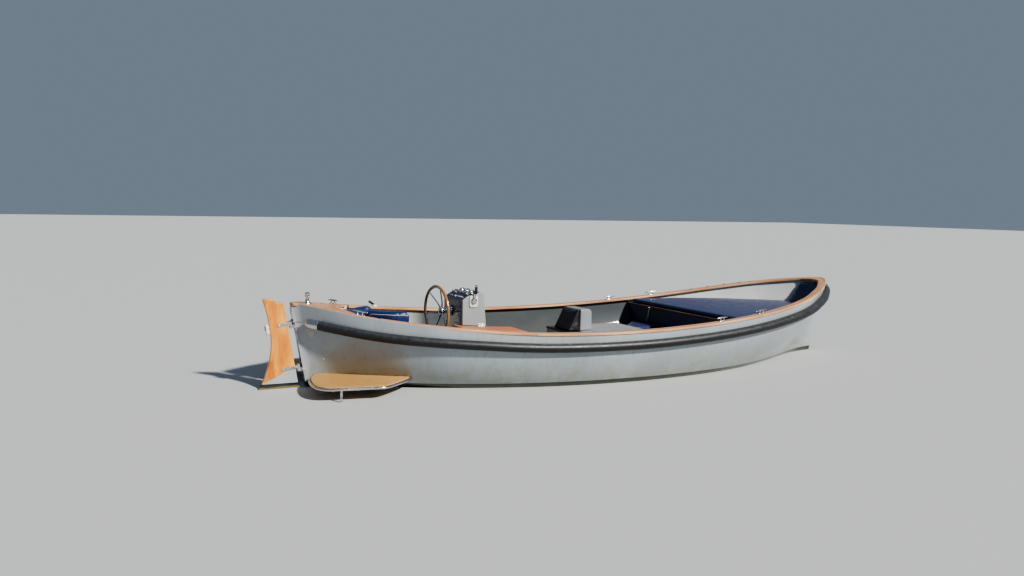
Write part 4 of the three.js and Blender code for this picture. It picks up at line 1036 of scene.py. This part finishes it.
# %% Console body
AFT, FORE, STBD, PORT = -1905, -1650, -655, -205
foot_aft, foot_fore = float(sheer(AFT)) + 1, float(sheer(FORE)) + 1
BROW_FOOT, BROW_TOP, CREST = np.array([(AFT, 860.0), (AFT + 55, 895.0), (FORE - 62, 935.0)])
console_profile = [(AFT, foot_aft), BROW_FOOT, BROW_TOP, CREST, (FORE - 33, 917), (FORE, foot_fore)]
moulded("console_moulding", [slab(console_profile, STBD, PORT)], lining, "moulding", 0.011,
        replaces=["console"])
pedestal = [(AFT + 6, 700), (AFT + 6, 70.8), (FORE - 10, 70.8), (FORE - 10, 620)]
moulded("console_pedestal", [slab(pedestal, -597, PORT - 6)], lining, "moulding", 0.008)
face = block(AFT - 12, AFT - 0.4, STBD + 8, PORT - 8, 622, 852)
moulded("console_aft_panel", [face], dark_panel, "dark_panel", 0.003, 3, replaces=["console_face"])

# %% Vent on the console's side
vent = [block(-1742, -1668, STBD - 3, STBD + 1, 590, 632)]
louvres = [block(-1736, -1674, STBD - 6, STBD - 1, z, z + 3.2) for z in (596, 605, 614, 623)]
moulded("console_vent", vent + louvres, stainless, "stainless", 0.0012, 2)

# %% Panels on the sloping top and the brow
def facet(low, high):
    """A function from s mm up the line low to high, y across and h mm above it, to a point in metres."""
    along = unit(high - low)
    out = np.array([-along[1], along[0]])

    def spot(s, y, h):
        """low + s along + h out, at y across."""
        x, z = low + along * s + out * h
        return np.array([x, y, z]) / 1000
    return spot


on_top, on_brow = facet(BROW_TOP, CREST), facet(BROW_FOOT, BROW_TOP)
for name, on_face, s0, s1, thick, width in (("instrument_panel", on_top, 2, 129, 4.4, 0.002),
                                            ("switch_panel", on_brow, 4, 61, 3.6, 0.0015)):
    corners = [(s0, 0.2), (s1, 0.2), (s1, thick), (s0, thick)]
    rings = [[on_face(s, y, h) for s, h in corners] for y in (STBD + 14, PORT - 14)]
    moulded(name, [loft(rings)], dark_panel, "dark_panel", width, 2)

# %% Gauges
MARKS = 24
f = Finish("printed_gauge_dial", Roughness=0.35, Coat_Weight=0.9, Coat_Roughness=0.03)
strip = f.strip()
ticks = f.math("FRACT", f.math("MULTIPLY", f.axis("Y", strip), MARKS / 0.2))
rim = f.span(f.axis("X", strip), 0.0, 0.004, 1, 0)
f.wear(f.blend(f.math("MULTIPLY", f.span(ticks, 0.16, 0.12), rim), "0B0C0E", "D8DAD8"))
dial = f.material


def gauge(place, s, y, radius):
    """A turned bezel standing 20 mm proud, with a sunken dial whose edge carries 24 marks."""
    foot, top = place(s, y, 3.5), place(s, y, 19)
    bezel = [(0, 0.002), (0, radius), (0.75, radius), (0.95, radius * 0.97), (1.0, radius * 0.91),
             (0.93, radius * 0.86), (0.8, radius * 0.845), (0.8, 0.002)]
    face = [(0.79, 0.001), (0.81, radius * 0.85), (0.83, radius * 0.8), (0.83, radius * 0.5), (0.83, 0.0005)]
    needle = tube([place(s, y, 17.5), place(s + radius * 500, y + radius * 250, 17.5)], 0.0009, 8, tag=2)
    return [lathe(foot, top, bezel, 40), lathe(foot, top, face, 40, tag=1), needle]


gauges = gauge(on_top, 78, -300, 0.043) + gauge(on_top, 78, -410, 0.051) + gauge(on_top, 78, -530, 0.043)
gauges += gauge(on_top, 34, -590, 0.026) + gauge(on_top, 34, -245, 0.026)
piece("helm_gauges", gauges, [stainless, dial, pale_piping], slot="stainless", sharp=30)

# %% Switches
def knob(y, top, rows, sides):
    """A turned knob on the brow at y, from 3 to top mm above it."""
    return lathe(on_brow(32, y, 3), on_brow(32, y, top), [(0, 0.001), *rows, (1, 0.001)], sides)


toggles = []
for y in np.linspace(-600, -440, 6):
    toggles.append(knob(y, 8, [(0, 0.009), (0.9, 0.008)], 16))
    toggles.append(tube([on_brow(32, y, 7), on_brow(38, y, 17)], 0.0032, 10))
toggles.append(knob(-400, 9, [(0, 0.014), (0.8, 0.014)], 20))
toggles.append(knob(-300, 12, [(0, 0.012), (0.9, 0.011)], 20))
piece("helm_switches", toggles, stainless, slot="stainless", sharp=30)

# %% Throttle
def turned_plate(x0, x1, z0, z1, y0, y1, radius, tag):
    """A plate whose outline is four quarter circles joined by lines, drawn in towards its outer face y1."""
    q = np.linspace(0, 90, 7)
    centres = [(x1, z1, -1, -1, 0), (x0, z1, 1, -1, 90), (x0, z0, 1, 1, 180), (x1, z0, -1, 1, 270)]
    p = np.concatenate([np.c_[x + sx * radius + radius * np.cos(np.radians(q + start)),
                              z + sz * radius + radius * np.sin(np.radians(q + start))]
                        for x, z, sx, sz, start in centres])
    middle = p.mean(0)
    rings = []
    for back, share in ((1, 1.0), (0.35, 1.0), (0.1, 0.97), (0, 0.9)):
        x, z = (middle + (p - middle) * share).T
        rings.append(np.c_[x, np.full(len(p), y1 + (y0 - y1) * back), z])
    return loft(np.array(rings) / 1000, tag=tag)


plate = turned_plate(-1836, -1749, 790, 903, STBD - 0.5, STBD - 13, 20, tag=2)
dome = lathe((-1.792, (STBD - 11) / 1000, 0.85), (-1.792, (STBD - 38) / 1000, 0.85),
             [(0, 0.002), (0, 0.034), (0.2, 0.0335), (0.45, 0.028), (0.6, 0.022), (0.95, 0.0205), (1, 0.018),
              (1, 0.001)], 32)
stick = bend([(-1792, STBD - 31, 850), (-1790, STBD - 36, 892), (-1785, STBD - 38, 930)], 12) / 1000
arm = tube(stick, np.linspace(0.0085, 0.007, 12), 16)
grip_line = bend([(-1785, STBD - 38, 926), (-1782, STBD - 38, 955), (-1780, STBD - 38, 988)], 14) / 1000
grip = tube(grip_line, 0.0125 + 0.0022 * np.sin(np.linspace(0, np.pi, 14)), 18, tag=1)
top = lathe((-1.780, (STBD - 38) / 1000, 0.988), (-1.779, (STBD - 38) / 1000, 1.009),
            [(0, 0.002), (0, 0.0105), (0.3, 0.0135), (0.6, 0.0135), (0.85, 0.009), (1, 0.0008)], 20)
screws = [bolt(np.array([x, STBD - 12.5, z]) / 1000, (0, -1, 0), 0.004, 0.0015)
          for x in (-1824, -1761) for z in (803, 890)]
piece("throttle_control", [plate, dome, arm, grip, top, *screws], [stainless, rubber, white_plastic],
      slot="stainless", replaces=["throttle"])

# %% Steering wheel
WHEEL_X, WHEEL_Y, WHEEL_Z, WHEEL_R = -2075, -410, 735, 240
YAW = np.radians(6.4)
HUB_X = WHEEL_X + 55
BAND_IN = 11.5


def angled(points):
    """Turn points (mm) 6.4 degrees about the upright through the wheel's centre, to metres."""
    p = np.asarray(points, float) - (WHEEL_X, WHEEL_Y, 0)
    x = p[..., 0] * np.cos(YAW) - p[..., 1] * np.sin(YAW)
    y = p[..., 0] * np.sin(YAW) + p[..., 1] * np.cos(YAW)
    return np.stack([x + WHEEL_X, y + WHEEL_Y, p[..., 2]], -1) / 1000


a = np.linspace(0, 2 * np.pi, 144, endpoint=False)
outer, inner = [np.stack([WHEEL_X + a * 0, WHEEL_Y + r * np.cos(a), WHEEL_Z + r * np.sin(a)], -1)
                for r in (WHEEL_R, WHEEL_R - BAND_IN)]
grip_wave = 0.0146 + 0.0005 * np.cos(24 * a)
wooden = tube(angled(outer), grip_wave, 20, ref=(np.cos(YAW), np.sin(YAW), 0), closed=True)
band = tube(angled(inner), 0.0072, 12, ref=(1, 0.11, 0), closed=True, tag=1)
piece("wheel_grip", [wooden, band], [wheel_wood, stainless], body="steering_wheel", slot="wheel_wood",
      replaces=["wheel_rim"])
SPOKE = [(HUB_X, 14), (HUB_X - 3, 40), (HUB_X - 10, 90), (HUB_X - 33, 165), (WHEEL_X + 2, WHEEL_R - 15)]
spokes = []
for k in range(6):
    t = np.radians(12 + 60 * k)
    x, r = bend(SPOKE, 24).T
    path = np.stack([x, WHEEL_Y - r * np.cos(t), WHEEL_Z + r * np.sin(t)], -1)
    spokes.append(tube(angled(path), np.linspace(0.0088, 0.0062, 24), 14, ref=(1, 0.11, 0)))
hub_a, hub_b = angled([(HUB_X - 30, WHEEL_Y, WHEEL_Z), (HUB_X + 16, WHEEL_Y, WHEEL_Z)])
hub = lathe(hub_a, hub_b, [
    (0, 0.001), (0.02, 0.012), (0.08, 0.021), (0.2, 0.029), (0.3, 0.036), (0.42, 0.039), (0.85, 0.039),
    (0.97, 0.036), (1.0, 0.03), (1.0, 0.002)], 40)
piece("wheel_hub_spokes", spokes + [hub], stainless, body="steering_wheel", slot="stainless",
      replaces=["wheel_spokes"], sharp=45)
boss_a, boss_b = angled([(HUB_X + 17, WHEEL_Y, WHEEL_Z), (AFT - 14, WHEEL_Y, WHEEL_Z)])
boss = lathe(boss_a, boss_b, [
    (0, 0.002), (0, 0.0225), (0.2, 0.024), (0.7, 0.0245), (0.78, 0.031), (0.82, 0.048), (0.86, 0.052),
    (0.98, 0.052), (1.04, 0.05), (1.04, 0.002)], 36)
piece("wheel_bearing", [boss], stainless, slot="stainless", replaces=["wheel_boss"], sharp=45)

# %% [markdown]
# ## Decks inside
# The cockpit floor and the side deck by the helm are teak strips with black caulk between them. Each strip
# is a closed bar again; the strips beside the helm taper together, so that all of them follow the rail.

# %% Cockpit floor
inner_x = np.linspace(-2900, 1500, 300)
inner_y = skin_y(inner_x, 62.0, WALL)
inner_px = place_x(inner_x, 62.0) * pull(WALL)
full = int(np.argmax(inner_y))
FLOOR_AFT, FLOOR_FORE = -2558, 1146


def floor_strip(y0, y1):
    """A strip from y0 to y1, cut 3 mm short of the lining at both ends."""
    y, z = rounded(y0, y1, 56, 70, 1.5, 1, 1, 2).T
    aft = np.maximum(np.interp(np.abs(y), inner_y[:full] - 3, inner_px[:full]), FLOOR_AFT)
    fore = np.minimum(np.interp(np.abs(y), inner_y[full:][::-1] - 3, inner_px[full:][::-1]), FLOOR_FORE)
    share = np.linspace(0, 1, 30)[:, None]
    return loft(np.stack([aft + share * (fore - aft), y + share * 0, z + share * 0], -1) / 1000)


PITCH, HALF_STRIP = 52.0, 24.2
reach = float(inner_y.max()) - 12
lines = np.arange(-20, 21) * PITCH
strips = [floor_strip(max(y - HALF_STRIP, -reach), min(y + HALF_STRIP, reach))
          for y in lines if abs(y) < reach - 10]
base_y, base_z = np.array([(-1, 52), (1, 52), (1, 66.5), (-1, 66.5)], float).T
rows = np.linspace(FLOOR_AFT + 2, FLOOR_FORE - 2, 60)[:, None]
wide_at = np.interp(rows, inner_px, inner_y) - 4
base = loft(np.stack([rows + 0 * base_y, wide_at * base_y, base_z + 0 * rows], -1) / 1000, tag=1)
piece("cockpit_teak", strips + [base], [deck_teak, caulk], slot="teak", replaces=["cockpit_sole"])

# %% Side deck by the helm
INNER_EDGE, STRIPS, JOINT = 600, 5, 1.3
strips = []
x = np.linspace(-1985, -1360, 40)[:, None]
room = half_beam(x) - 98 - INNER_EDGE
section_y, section_z = rounded(0, 1000, -24, 0, 3, 1, 1, 2).T
for k in range(STRIPS):
    near, far = INNER_EDGE + room * k / STRIPS + JOINT, INNER_EDGE + room * (k + 1) / STRIPS - JOINT
    y = near + np.where(section_y < 500, section_y, section_y - 1000 + (far - near))
    strips.append(loft(np.stack([x + 0 * y, -y, sheer(x) + section_z], -1) / 1000))
x = np.linspace(-1983, -1362, 40)[:, None]
share, z = np.array([(0, -25), (1, -25), (1, -3.5), (0, -3.5)]).T
y = INNER_EDGE + 2 + (half_beam(x) - 101 - INNER_EDGE - 2) * share
strips.append(loft(np.stack([x + 0 * y, -y, sheer(x) + z], -1) / 1000, tag=1))
piece("helm_side_deck", strips, [helm_teak, caulk], slot="teak", replaces=["side_deck"])

# %% [markdown]
# ## Engine box and seats
# The box over the engine is moulded grey, with softly rounded edges and a lid hinged at its fore edge. The
# lid carries a seat back: a light shell in front and a black wedge cushion behind it. Bevels round the
# moulded edges.

# %% Engine box
BOX_AFT, BOX_FORE, BOX_HALF, BOX_TOP, BOX_WALL = -460, 470, 300, 400, 20
corners = [(x, y * BOX_HALF) for x, y in ((BOX_AFT, -1), (BOX_FORE, -1), (BOX_FORE, 1), (BOX_AFT, 1))]
inward = -np.sign(np.subtract(corners, np.mean(corners, 0)))
wall = [(0, 70.6), (0, BOX_TOP), (BOX_WALL, BOX_TOP), (BOX_WALL, 70.6)]
rings = np.array([[(*(c + n * d), z) for d, z in wall] for c, n in zip(corners, inward)]) / 1000
box_walls = loft(np.r_[rings, rings[:1]], ends=False)
moulded("engine_box_moulding", [box_walls], lining, "moulding", 0.006, replaces=["engine_box"])
slots = [block(BOX_AFT - 3, BOX_AFT + 1, -90, 90, z, z + 9) for z in range(180, 300, 24)]
slots += [block(-60 + 34 * k, -40 + 34 * k, y0, y0 + thick, 190, 290)
          for k in range(6) for y0, thick in ((-BOX_HALF - 3, 6), (BOX_HALF, 3))]
moulded("engine_box_vents", slots, dark_panel, "dark_panel", 0.0015, 2)
lid = block(BOX_AFT - 6, BOX_FORE, -306, 306, BOX_TOP + 0.6, 422)
moulded("engine_lid_moulding", [lid], lid_grey, "moulding", 0.008, body="engine_lid", replaces=["engine_lid"])
tread = [block(-130 + 46 * k, -104 + 46 * k, -255, 255, 421.5, 423.6) for k in range(12)]
moulded("lid_tread", tread, deck_grey, "moulding", 0.001, 2, body="engine_lid")
shell = [
    (-303, 422.6), (-154, 422.6), (-157, 622), (-161, 636), (-170, 648), (-183, 655), (-198, 657),
    (-299, 657)]
moulded("seat_shell_moulding", [slab(shell, -172, 172)], seat_grey, "moulding", 0.017, 5, body="engine_lid",
        replaces=["lid_seat_shell"])
PIN_X, PIN_Z = 0.4746, 0.3971
knuckles = [tube([(PIN_X, y, PIN_Z), (PIN_X, y + 0.05, PIN_Z)], 0.0036, 12)
            for y in np.arange(-0.27, 0.26, 0.056)]
leaf = block(470.3, 472.6, -276, 276, 374, BOX_TOP)
piece("lid_piano_hinge", knuckles + [leaf], stainless, slot="stainless", sharp=30)

# %% Benches
doors = [block(636.5, 640.5, y - 150, y + 150, 110, 245) for y in (-300, 300)]
moulded("fore_locker_doors", doors, deck_grey, "moulding", 0.0016, 3)
door = block(-2329.5, -2325.5, -260, 260, 120, 350)
moulded("stern_locker_door", [door], deck_grey, "moulding", 0.0016, 3)
LATCH = [(0, 0.002), (0, 0.016), (0.7, 0.0155), (1, 0.012), (1, 0.001)]
latches = [lathe((x, y, z), (end, y, z), LATCH, 24) for x, end, y, z in (
    (0.6365, 0.6315, -0.3, 0.215), (0.6365, 0.6315, 0.3, 0.215), (-2.3255, -2.3205, 0, 0.31))]
piece("locker_latches", latches, stainless, slot="stainless", sharp=30)

# %% Sun deck's bulkhead
# A pale trim line marks the deck's aft edge; below it are a framed hatch and a thin polished stay.
sun_y = float(np.interp(1150, inner_px, skin_y(inner_x, 550.0, WALL))) - 6
for name in ("sun_deck", "sun_deck_bulkhead"):
    for holder in NODES[name].material_slots:
        holder.material = dark_panel
trim = block(1136.5, 1140.5, -sun_y + 30, sun_y - 30, 556, 562.5)
moulded("sun_deck_trim", [trim], rail_teak, "teak", 0.001, 2)
hatch = [block(1146.5, 1151, y0, y1, z0, z1) for y0, y1, z0, z1 in (
    (-310, 190, 468, 480), (-310, 190, 310, 322), (-310, -298, 310, 480), (178, 190, 310, 480))]
moulded("bulkhead_hatch_frame", hatch, navy_vinyl, "dark_panel", 0.0015, 2)
moulded("bulkhead_hatch", [block(1148, 1150.5, -296, 176, 324, 466)], dark_panel, "dark_panel", 0.001, 2)
stay = tube([(1.128, 0.62, 0.352), (1.132, 0.6, 0.44), (1.137, 0.575, 0.535)], 0.0055, 14)
socket = [(0, 0.002), (0, 0.019), (0.2, 0.019), (0.3, 0.0125), (0.75, 0.0135), (1, 0.009), (1.04, 0.001)]
holder = lathe((1.15, 0.575, 0.54), (1.118, 0.575, 0.54), socket, 24)
piece("bulkhead_stay", [stay, holder], stainless, slot="stainless", sharp=45)

# %% Rod holder and eyes on the port rail
lever = np.array([-2.33, (float(half_beam(-2310)) - 45) / 1000, float(sheer(-2310)) / 1000])
cup = [(0, 0.002), (0, 0.03), (0.4, 0.03), (0.7, 0.024), (1, 0.017), (1, 0.001)]
foot = lathe(lever - (0, 0, 0.001), lever + (0, 0, 0.02), cup, 28)
bent = bend([lever + step for step in ((0, 0, 0.012), (-0.022, 0, 0.03), (-0.056, 0, 0.054))], 12)
stick = tube(bent, np.linspace(0.011, 0.0145, 12), 18, tag=1)
piece("rod_holder", [foot, stick], [white_plastic, rubber], slot="stainless", sharp=45)
plate = [(0, 0.001), (0, 0.015), (0.8, 0.014), (1, 0.008), (1, 0.001)]
a = np.linspace(0, np.pi, 12)
eyes = []
for x in (2040, 2250, 2450, 2630):
    foot = np.array([x, float(half_beam(x)) - 40, float(sheer(x))]) / 1000
    eyes.append(lathe(foot - (0, 0, 0.001), foot + (0, 0, 0.006), plate, 20))
    eyes.append(tube(foot + np.stack([0.011 * np.cos(a), a * 0, 0.004 + 0.019 * np.sin(a)], -1), 0.0032, 10))
piece("rail_eyes", eyes, stainless, slot="stainless", sharp=45)

# %% [markdown]
# ## Cushions
# Each cushion is foam in sewn vinyl: flat below where it rests, crowned above, its sides drawn in between
# the corners, with a piped seam on the edges that show. A cloth simulation blows up a closed form, and a
# cap on how far each point may move keeps it clear of its neighbours. Drawing the swell by hand would be
# quicker, but the simulation pulls the cover tight over the corners as filled vinyl is.

# %% Blowing up a pad
from mathutils.bvhtree import BVHTree


def coordinates(mesh):
    """The mesh's points as rows (x, y, z)."""
    flat = np.empty(len(mesh.vertices) * 3, np.float32)
    mesh.vertices.foreach_get("co", flat)
    return flat.reshape(-1, 3).astype(float)


def baked(made):
    """The piece's mesh with its modifiers applied."""
    bpy.context.view_layer.update()
    seen = made.evaluated_get(bpy.context.evaluated_depsgraph_get())
    return bpy.data.meshes.new_from_object(seen)


def swap(made, mesh):
    """Give the piece another mesh in place of its own and its modifiers."""
    old = made.data
    made.modifiers.clear()
    made.data = mesh
    mesh.name = made.name
    bpy.data.meshes.remove(old)


PRESSURE, FRAMES = 4.0, 20


def puff(made, voxel, cap, rest):
    """Remesh to voxel metres, inflate as cloth for 20 frames, then scale each point's travel down to cap.
    Points below the height rest go back up to it, so the pad lies flat on what carries it."""
    cells = made.modifiers.new("cells", "REMESH")
    cells.mode = "VOXEL"
    cells.voxel_size = voxel
    swap(made, baked(made))
    start = coordinates(made.data)
    cloth = made.modifiers.new("cloth", "CLOTH")
    cloth.settings.use_pressure = True
    cloth.settings.uniform_pressure_force = PRESSURE
    cloth.settings.effector_weights.gravity = 0
    cloth.collision_settings.use_collision = False
    cloth.point_cache.frame_start = 1
    cloth.point_cache.frame_end = FRAMES
    for step in range(1, FRAMES + 1):
        bpy.context.scene.frame_set(step)
    swap(made, baked(made))
    bpy.context.scene.frame_set(1)
    travel = coordinates(made.data) - start
    far = np.linalg.norm(travel, axis=1, keepdims=True)
    ends = start + travel * np.minimum(1, cap / np.maximum(far, 1e-9))
    ends[:, 2] = np.maximum(ends[:, 2], rest)
    made.data.vertices.foreach_set("co", ends.astype(np.float32).ravel())
    made.data.shade_smooth()
    made.data.update()
    finer = made.modifiers.new("finer_cells", "SUBSURF")
    finer.levels = 1
    finer.render_levels = 1
    print(made.name, len(start), "points, mean travel", round(float(far.mean()) * 1000, 1), "mm")


def piping(name, made, paths, radius=0.0042, closed=False, coat=navy_vinyl, body="hull"):
    """A cord laid on the pad: each path point moves to the nearest point of the pad's skin."""
    skin = [tuple(p) for p in coordinates(made.data)]
    tree = BVHTree.FromPolygons(skin, [tuple(face.vertices) for face in made.data.polygons])
    cords = []
    for path in paths:
        hits = [tree.find_nearest(point) for point in path]
        laid = np.array([np.array(hit[0]) + np.array(hit[1]) * 0.0012 for hit in hits])
        for _ in range(3):
            laid[1:-1] = (laid[:-2] + 2 * laid[1:-1] + laid[2:]) / 4
        cords.append(tube(laid, radius, 10, closed=closed, ref=(0.02, 0.03, 1)))
    piece(name, cords, coat, slot="navy_vinyl", body=body)


def soften(outline, radius, steps=5):
    """Round the corners of a closed plan outline (mm): each corner p becomes the curve
    (1 - t)^2 a + 2 t (1 - t) p + t^2 b, where a and b lie at radius from it on the two edges."""
    p = np.asarray(outline, float)
    before, after = np.roll(p, 1, 0) - p, np.roll(p, -1, 0) - p
    a = p + unit(before) * np.minimum(radius, np.linalg.norm(before, axis=1, keepdims=True) * 0.45)
    b = p + unit(after) * np.minimum(radius, np.linalg.norm(after, axis=1, keepdims=True) * 0.45)
    t = np.linspace(0, 1, steps)[None, :, None]
    return ((1 - t) ** 2 * a[:, None] + 2 * t * (1 - t) * p[:, None] + t**2 * b[:, None]).reshape(-1, 2)


def pad(outline, z0, z1, ease=14):
    """A plan outline raised from z0 to z1 (mm), drawn in by ease at its upper edge and half of it below."""
    p = np.asarray(outline, float)
    ahead = unit(np.roll(p, -1, 0) - np.roll(p, 1, 0))
    area = np.sum(p[:, 0] * np.roll(p[:, 1], -1) - np.roll(p[:, 0], -1) * p[:, 1])
    inward = np.stack([-ahead[:, 1], ahead[:, 0]], -1) * np.sign(area)
    rows = [(ease * 0.5, z0), (ease * 0.12, z0 + ease * 0.4), (0, z0 + ease), (0, z1 - ease),
            (ease * 0.3, z1 - ease * 0.3), (ease, z1)]
    return loft(np.array([np.c_[p + inward * d, np.full(len(p), z)] for d, z in rows]) / 1000)


def inner_width(x, z):
    """Half width inside the hull at the real place x and height z, from the stations slid to that height."""
    s = np.linspace(AFT_END, FORE_END, 900)
    return np.interp(x, place_x(s, z) * pull(WALL), skin_y(s, z, WALL))


def across_at(x, half, z, count):
    """A level line from -half to half at x and z, in metres."""
    return np.stack([np.full(count, x), np.linspace(-half, half, count), np.full(count, z)], -1) / 1000


def mirrored(x, half):
    """Plan outline from the half widths at x: forward along starboard, back along port."""
    return np.r_[np.c_[x, -half], np.c_[x[::-1], half[::-1]]]


# %% Stern seat
x = np.linspace(-2975, -2362, 18)
half = np.minimum(inner_width(x, 405.0) - 14, 700)
seat = piece("stern_seat_pad", [pad(mirrored(x, half), 401, 470)], navy_vinyl, slot="navy_vinyl",
             replaces=["stern_seat_cushion"])
puff(seat, 0.013, 0.010, rest=0.4008)
piping("stern_seat_piping", seat, [across_at(-2362.0, half[-1] - 20, 466.0, 60)])

# %% Stern back in two parts, the starboard arm higher
def back_pad(name, k0, k1, top, steps, replaces=()):
    """Part of the back round the stern: outer curve (-2400 - 444 cos^0.9, 579 sin), inner curve 78 mm
    inside it, from angle k0 to k1 of 14 steps. Its section is a bar leaning 10 mm outward with its upper
    edges rounded."""
    angle = np.pi * np.linspace(k0, k1, steps) / 14 - np.pi / 2
    c = np.maximum(np.cos(angle), 0) ** 0.9
    outer = np.stack([-2400 - 444 * c, 579 * np.sin(angle)], -1)
    inner = np.stack([-2400 - 366 * c, 501 * np.sin(angle)], -1)
    shape_d = np.array([0, 0, 0.02, 0.1, 0.3, 0.7, 0.9, 0.98, 1, 1])
    shape_z = np.array([0, 0.5, 0.86, 0.95, 1.0, 1.0, 0.95, 0.86, 0.5, 0])
    from_end = np.minimum(np.arange(steps), np.arange(steps)[::-1])
    shrink = np.interp(from_end, (0, 1, 2, 3), (0.6, 0.85, 0.96, 1))[:, None]
    across = 0.5 + (shape_d[None] - 0.5) * shrink
    flat = outer[:, None] + (inner - outer)[:, None] * across[..., None]
    lean_out = (shape_z * -10)[None, :, None] * unit(inner - outer)[:, None]
    up = 482 + (top - 482) * shape_z[None] * (1 - 0.3 * (1 - shrink))
    rings = np.concatenate([flat + lean_out, up[..., None]], -1)
    made = piece(name, [loft(rings / 1000)], navy_vinyl, slot="navy_vinyl", replaces=replaces)
    puff(made, 0.010, 0.008, rest=0.4812)
    return made, rings


arm, arm_rings = back_pad("stern_arm_pad", 0.02, 4.35, 768, 26, ["stern_back_cushion"])
outer_seam = np.r_[bend(arm_rings[1, 6:1:-1], 24), arm_rings[2:-3, 2], arm_rings[-3:-2, 1]]
piping("stern_arm_piping", arm, [outer_seam / 1000], 0.0036, coat=pale_piping)
back, back_rings = back_pad("stern_back_pad", 4.55, 13.75, 694, 52)
piping("stern_back_piping", back, [back_rings[2:-2, 3] / 1000, back_rings[2:-2, 6] / 1000], 0.0036)

# %% Shelf behind the stern back
angle = np.pi * np.linspace(1.6, 12.4, 70) / 14 - np.pi / 2
c = np.cos(angle) ** 0.9
front = np.stack([-2400 - 452 * c, 587 * np.sin(angle)], -1)
under_deck = np.stack([DECK_BREAK - 190 * c, (half_beam(DECK_BREAK) - 64) * np.sin(angle)], -1)
widest = inner_width(under_deck[:, 0], 668.0) - 5
under_deck[:, 1] = np.clip(under_deck[:, 1], -widest, widest)
edges = ((front, 664), (front, 672), (under_deck, 672), (under_deck, 664))
shelf = np.stack([np.c_[line, np.full(70, z)] for line, z in edges], 1)
piece("stern_shelf", [loft(shelf / 1000)], dark_panel, slot="dark_panel", sharp=30)

# %% Fore corner seats
for name, side in SIDES:
    corners = np.array([(1138, 358), (1138, 893), (1086, 878), (826, 606), (740, 470), (740, 358)])
    plan = soften(corners * (1, side), 45)
    seat = piece(f"fore_seat_pad_{name}", [pad(plan, 281, 342)], navy_vinyl, slot="navy_vinyl",
                 replaces=[f"fore_cushion_{name}"])
    puff(seat, 0.008, 0.009, rest=0.2808)
    ring = np.c_[plan, np.full(len(plan), 340.0)]
    piping(f"fore_seat_piping_{name}", seat, [bend(np.r_[ring, ring[:1]], 160)[:-1] / 1000], closed=True)

# %% Sun deck cushion
x = np.linspace(1160, 3012, 40)
wide = inner_width(x, 600.0) - 13
near_rail = half_beam(x) - 97 + np.clip((sheer(x) - 660) * 2.0, 0, 500)
wide = np.minimum(wide, near_rail)
sun_pad = piece("sun_deck_pad", [pad(mirrored(x, wide), 564, 612, 16)], navy_vinyl, slot="navy_vinyl",
                replaces=["sun_cushion"])
puff(sun_pad, 0.018, 0.012, rest=0.5638)
piping("sun_deck_piping", sun_pad, [across_at(1160.0, wide[0] - 25, 608.0, 80)])

# %% Bow pad
z = np.linspace(566, 862, 22)
lean = (z - 564) / 286
aft_x, fore_x = 3038 + 157 * lean, 3108 + 147 * lean
half_a = np.array([inner_width(a, h) for a, h in zip(aft_x, z)]) - 12
half_f = np.maximum(np.array([inner_width(f, h) for f, h in zip(fore_x, z)]) - 12, 30)
ease = np.sqrt(np.clip(1 - (np.abs(np.linspace(-1, 1, 22)) - 0.86).clip(0) ** 2 / 0.0225, 0.08, 1))
mid_x, thick = (aft_x + fore_x) / 2, (fore_x - aft_x) / 2 * ease
section = [
    (-1, -half_a * 0.96), (-1, half_a * 0.96), (-0.4, half_a), (1, half_f), (1, -half_f), (-0.4, -half_a)]
rings = np.stack([np.stack([mid_x + thick * share, y, z], -1) for share, y in section], 1)
bow_pad = piece("bow_back_pad", [loft(rings / 1000)], navy_vinyl, slot="navy_vinyl",
                replaces=["bow_back_cushion"])
puff(bow_pad, 0.008, 0.010, rest=0.5648)

# %% Seat back on the engine lid
wedge = [(-446, 423.5), (-308, 423.5), (-305, 560), (-304, 652), (-314, 661), (-330, 655), (-362, 585)]
rest_pad = piece("lid_back_pad", [slab(wedge, -167, 167)], black_vinyl, body="engine_lid", slot="black_vinyl",
                 replaces=["lid_backrest"])
puff(rest_pad, 0.008, 0.009, rest=0.4232)
seam = [(-446, 424), (-362, 586), (-330, 656), (-306, 655), (-305, 560), (-306, 424)]
seams = [bend([(x, y, z) for x, z in seam], 60) / 1000 for y in (-167, 167)]
piping("lid_back_piping", rest_pad, seams, coat=black_vinyl, body="engine_lid")
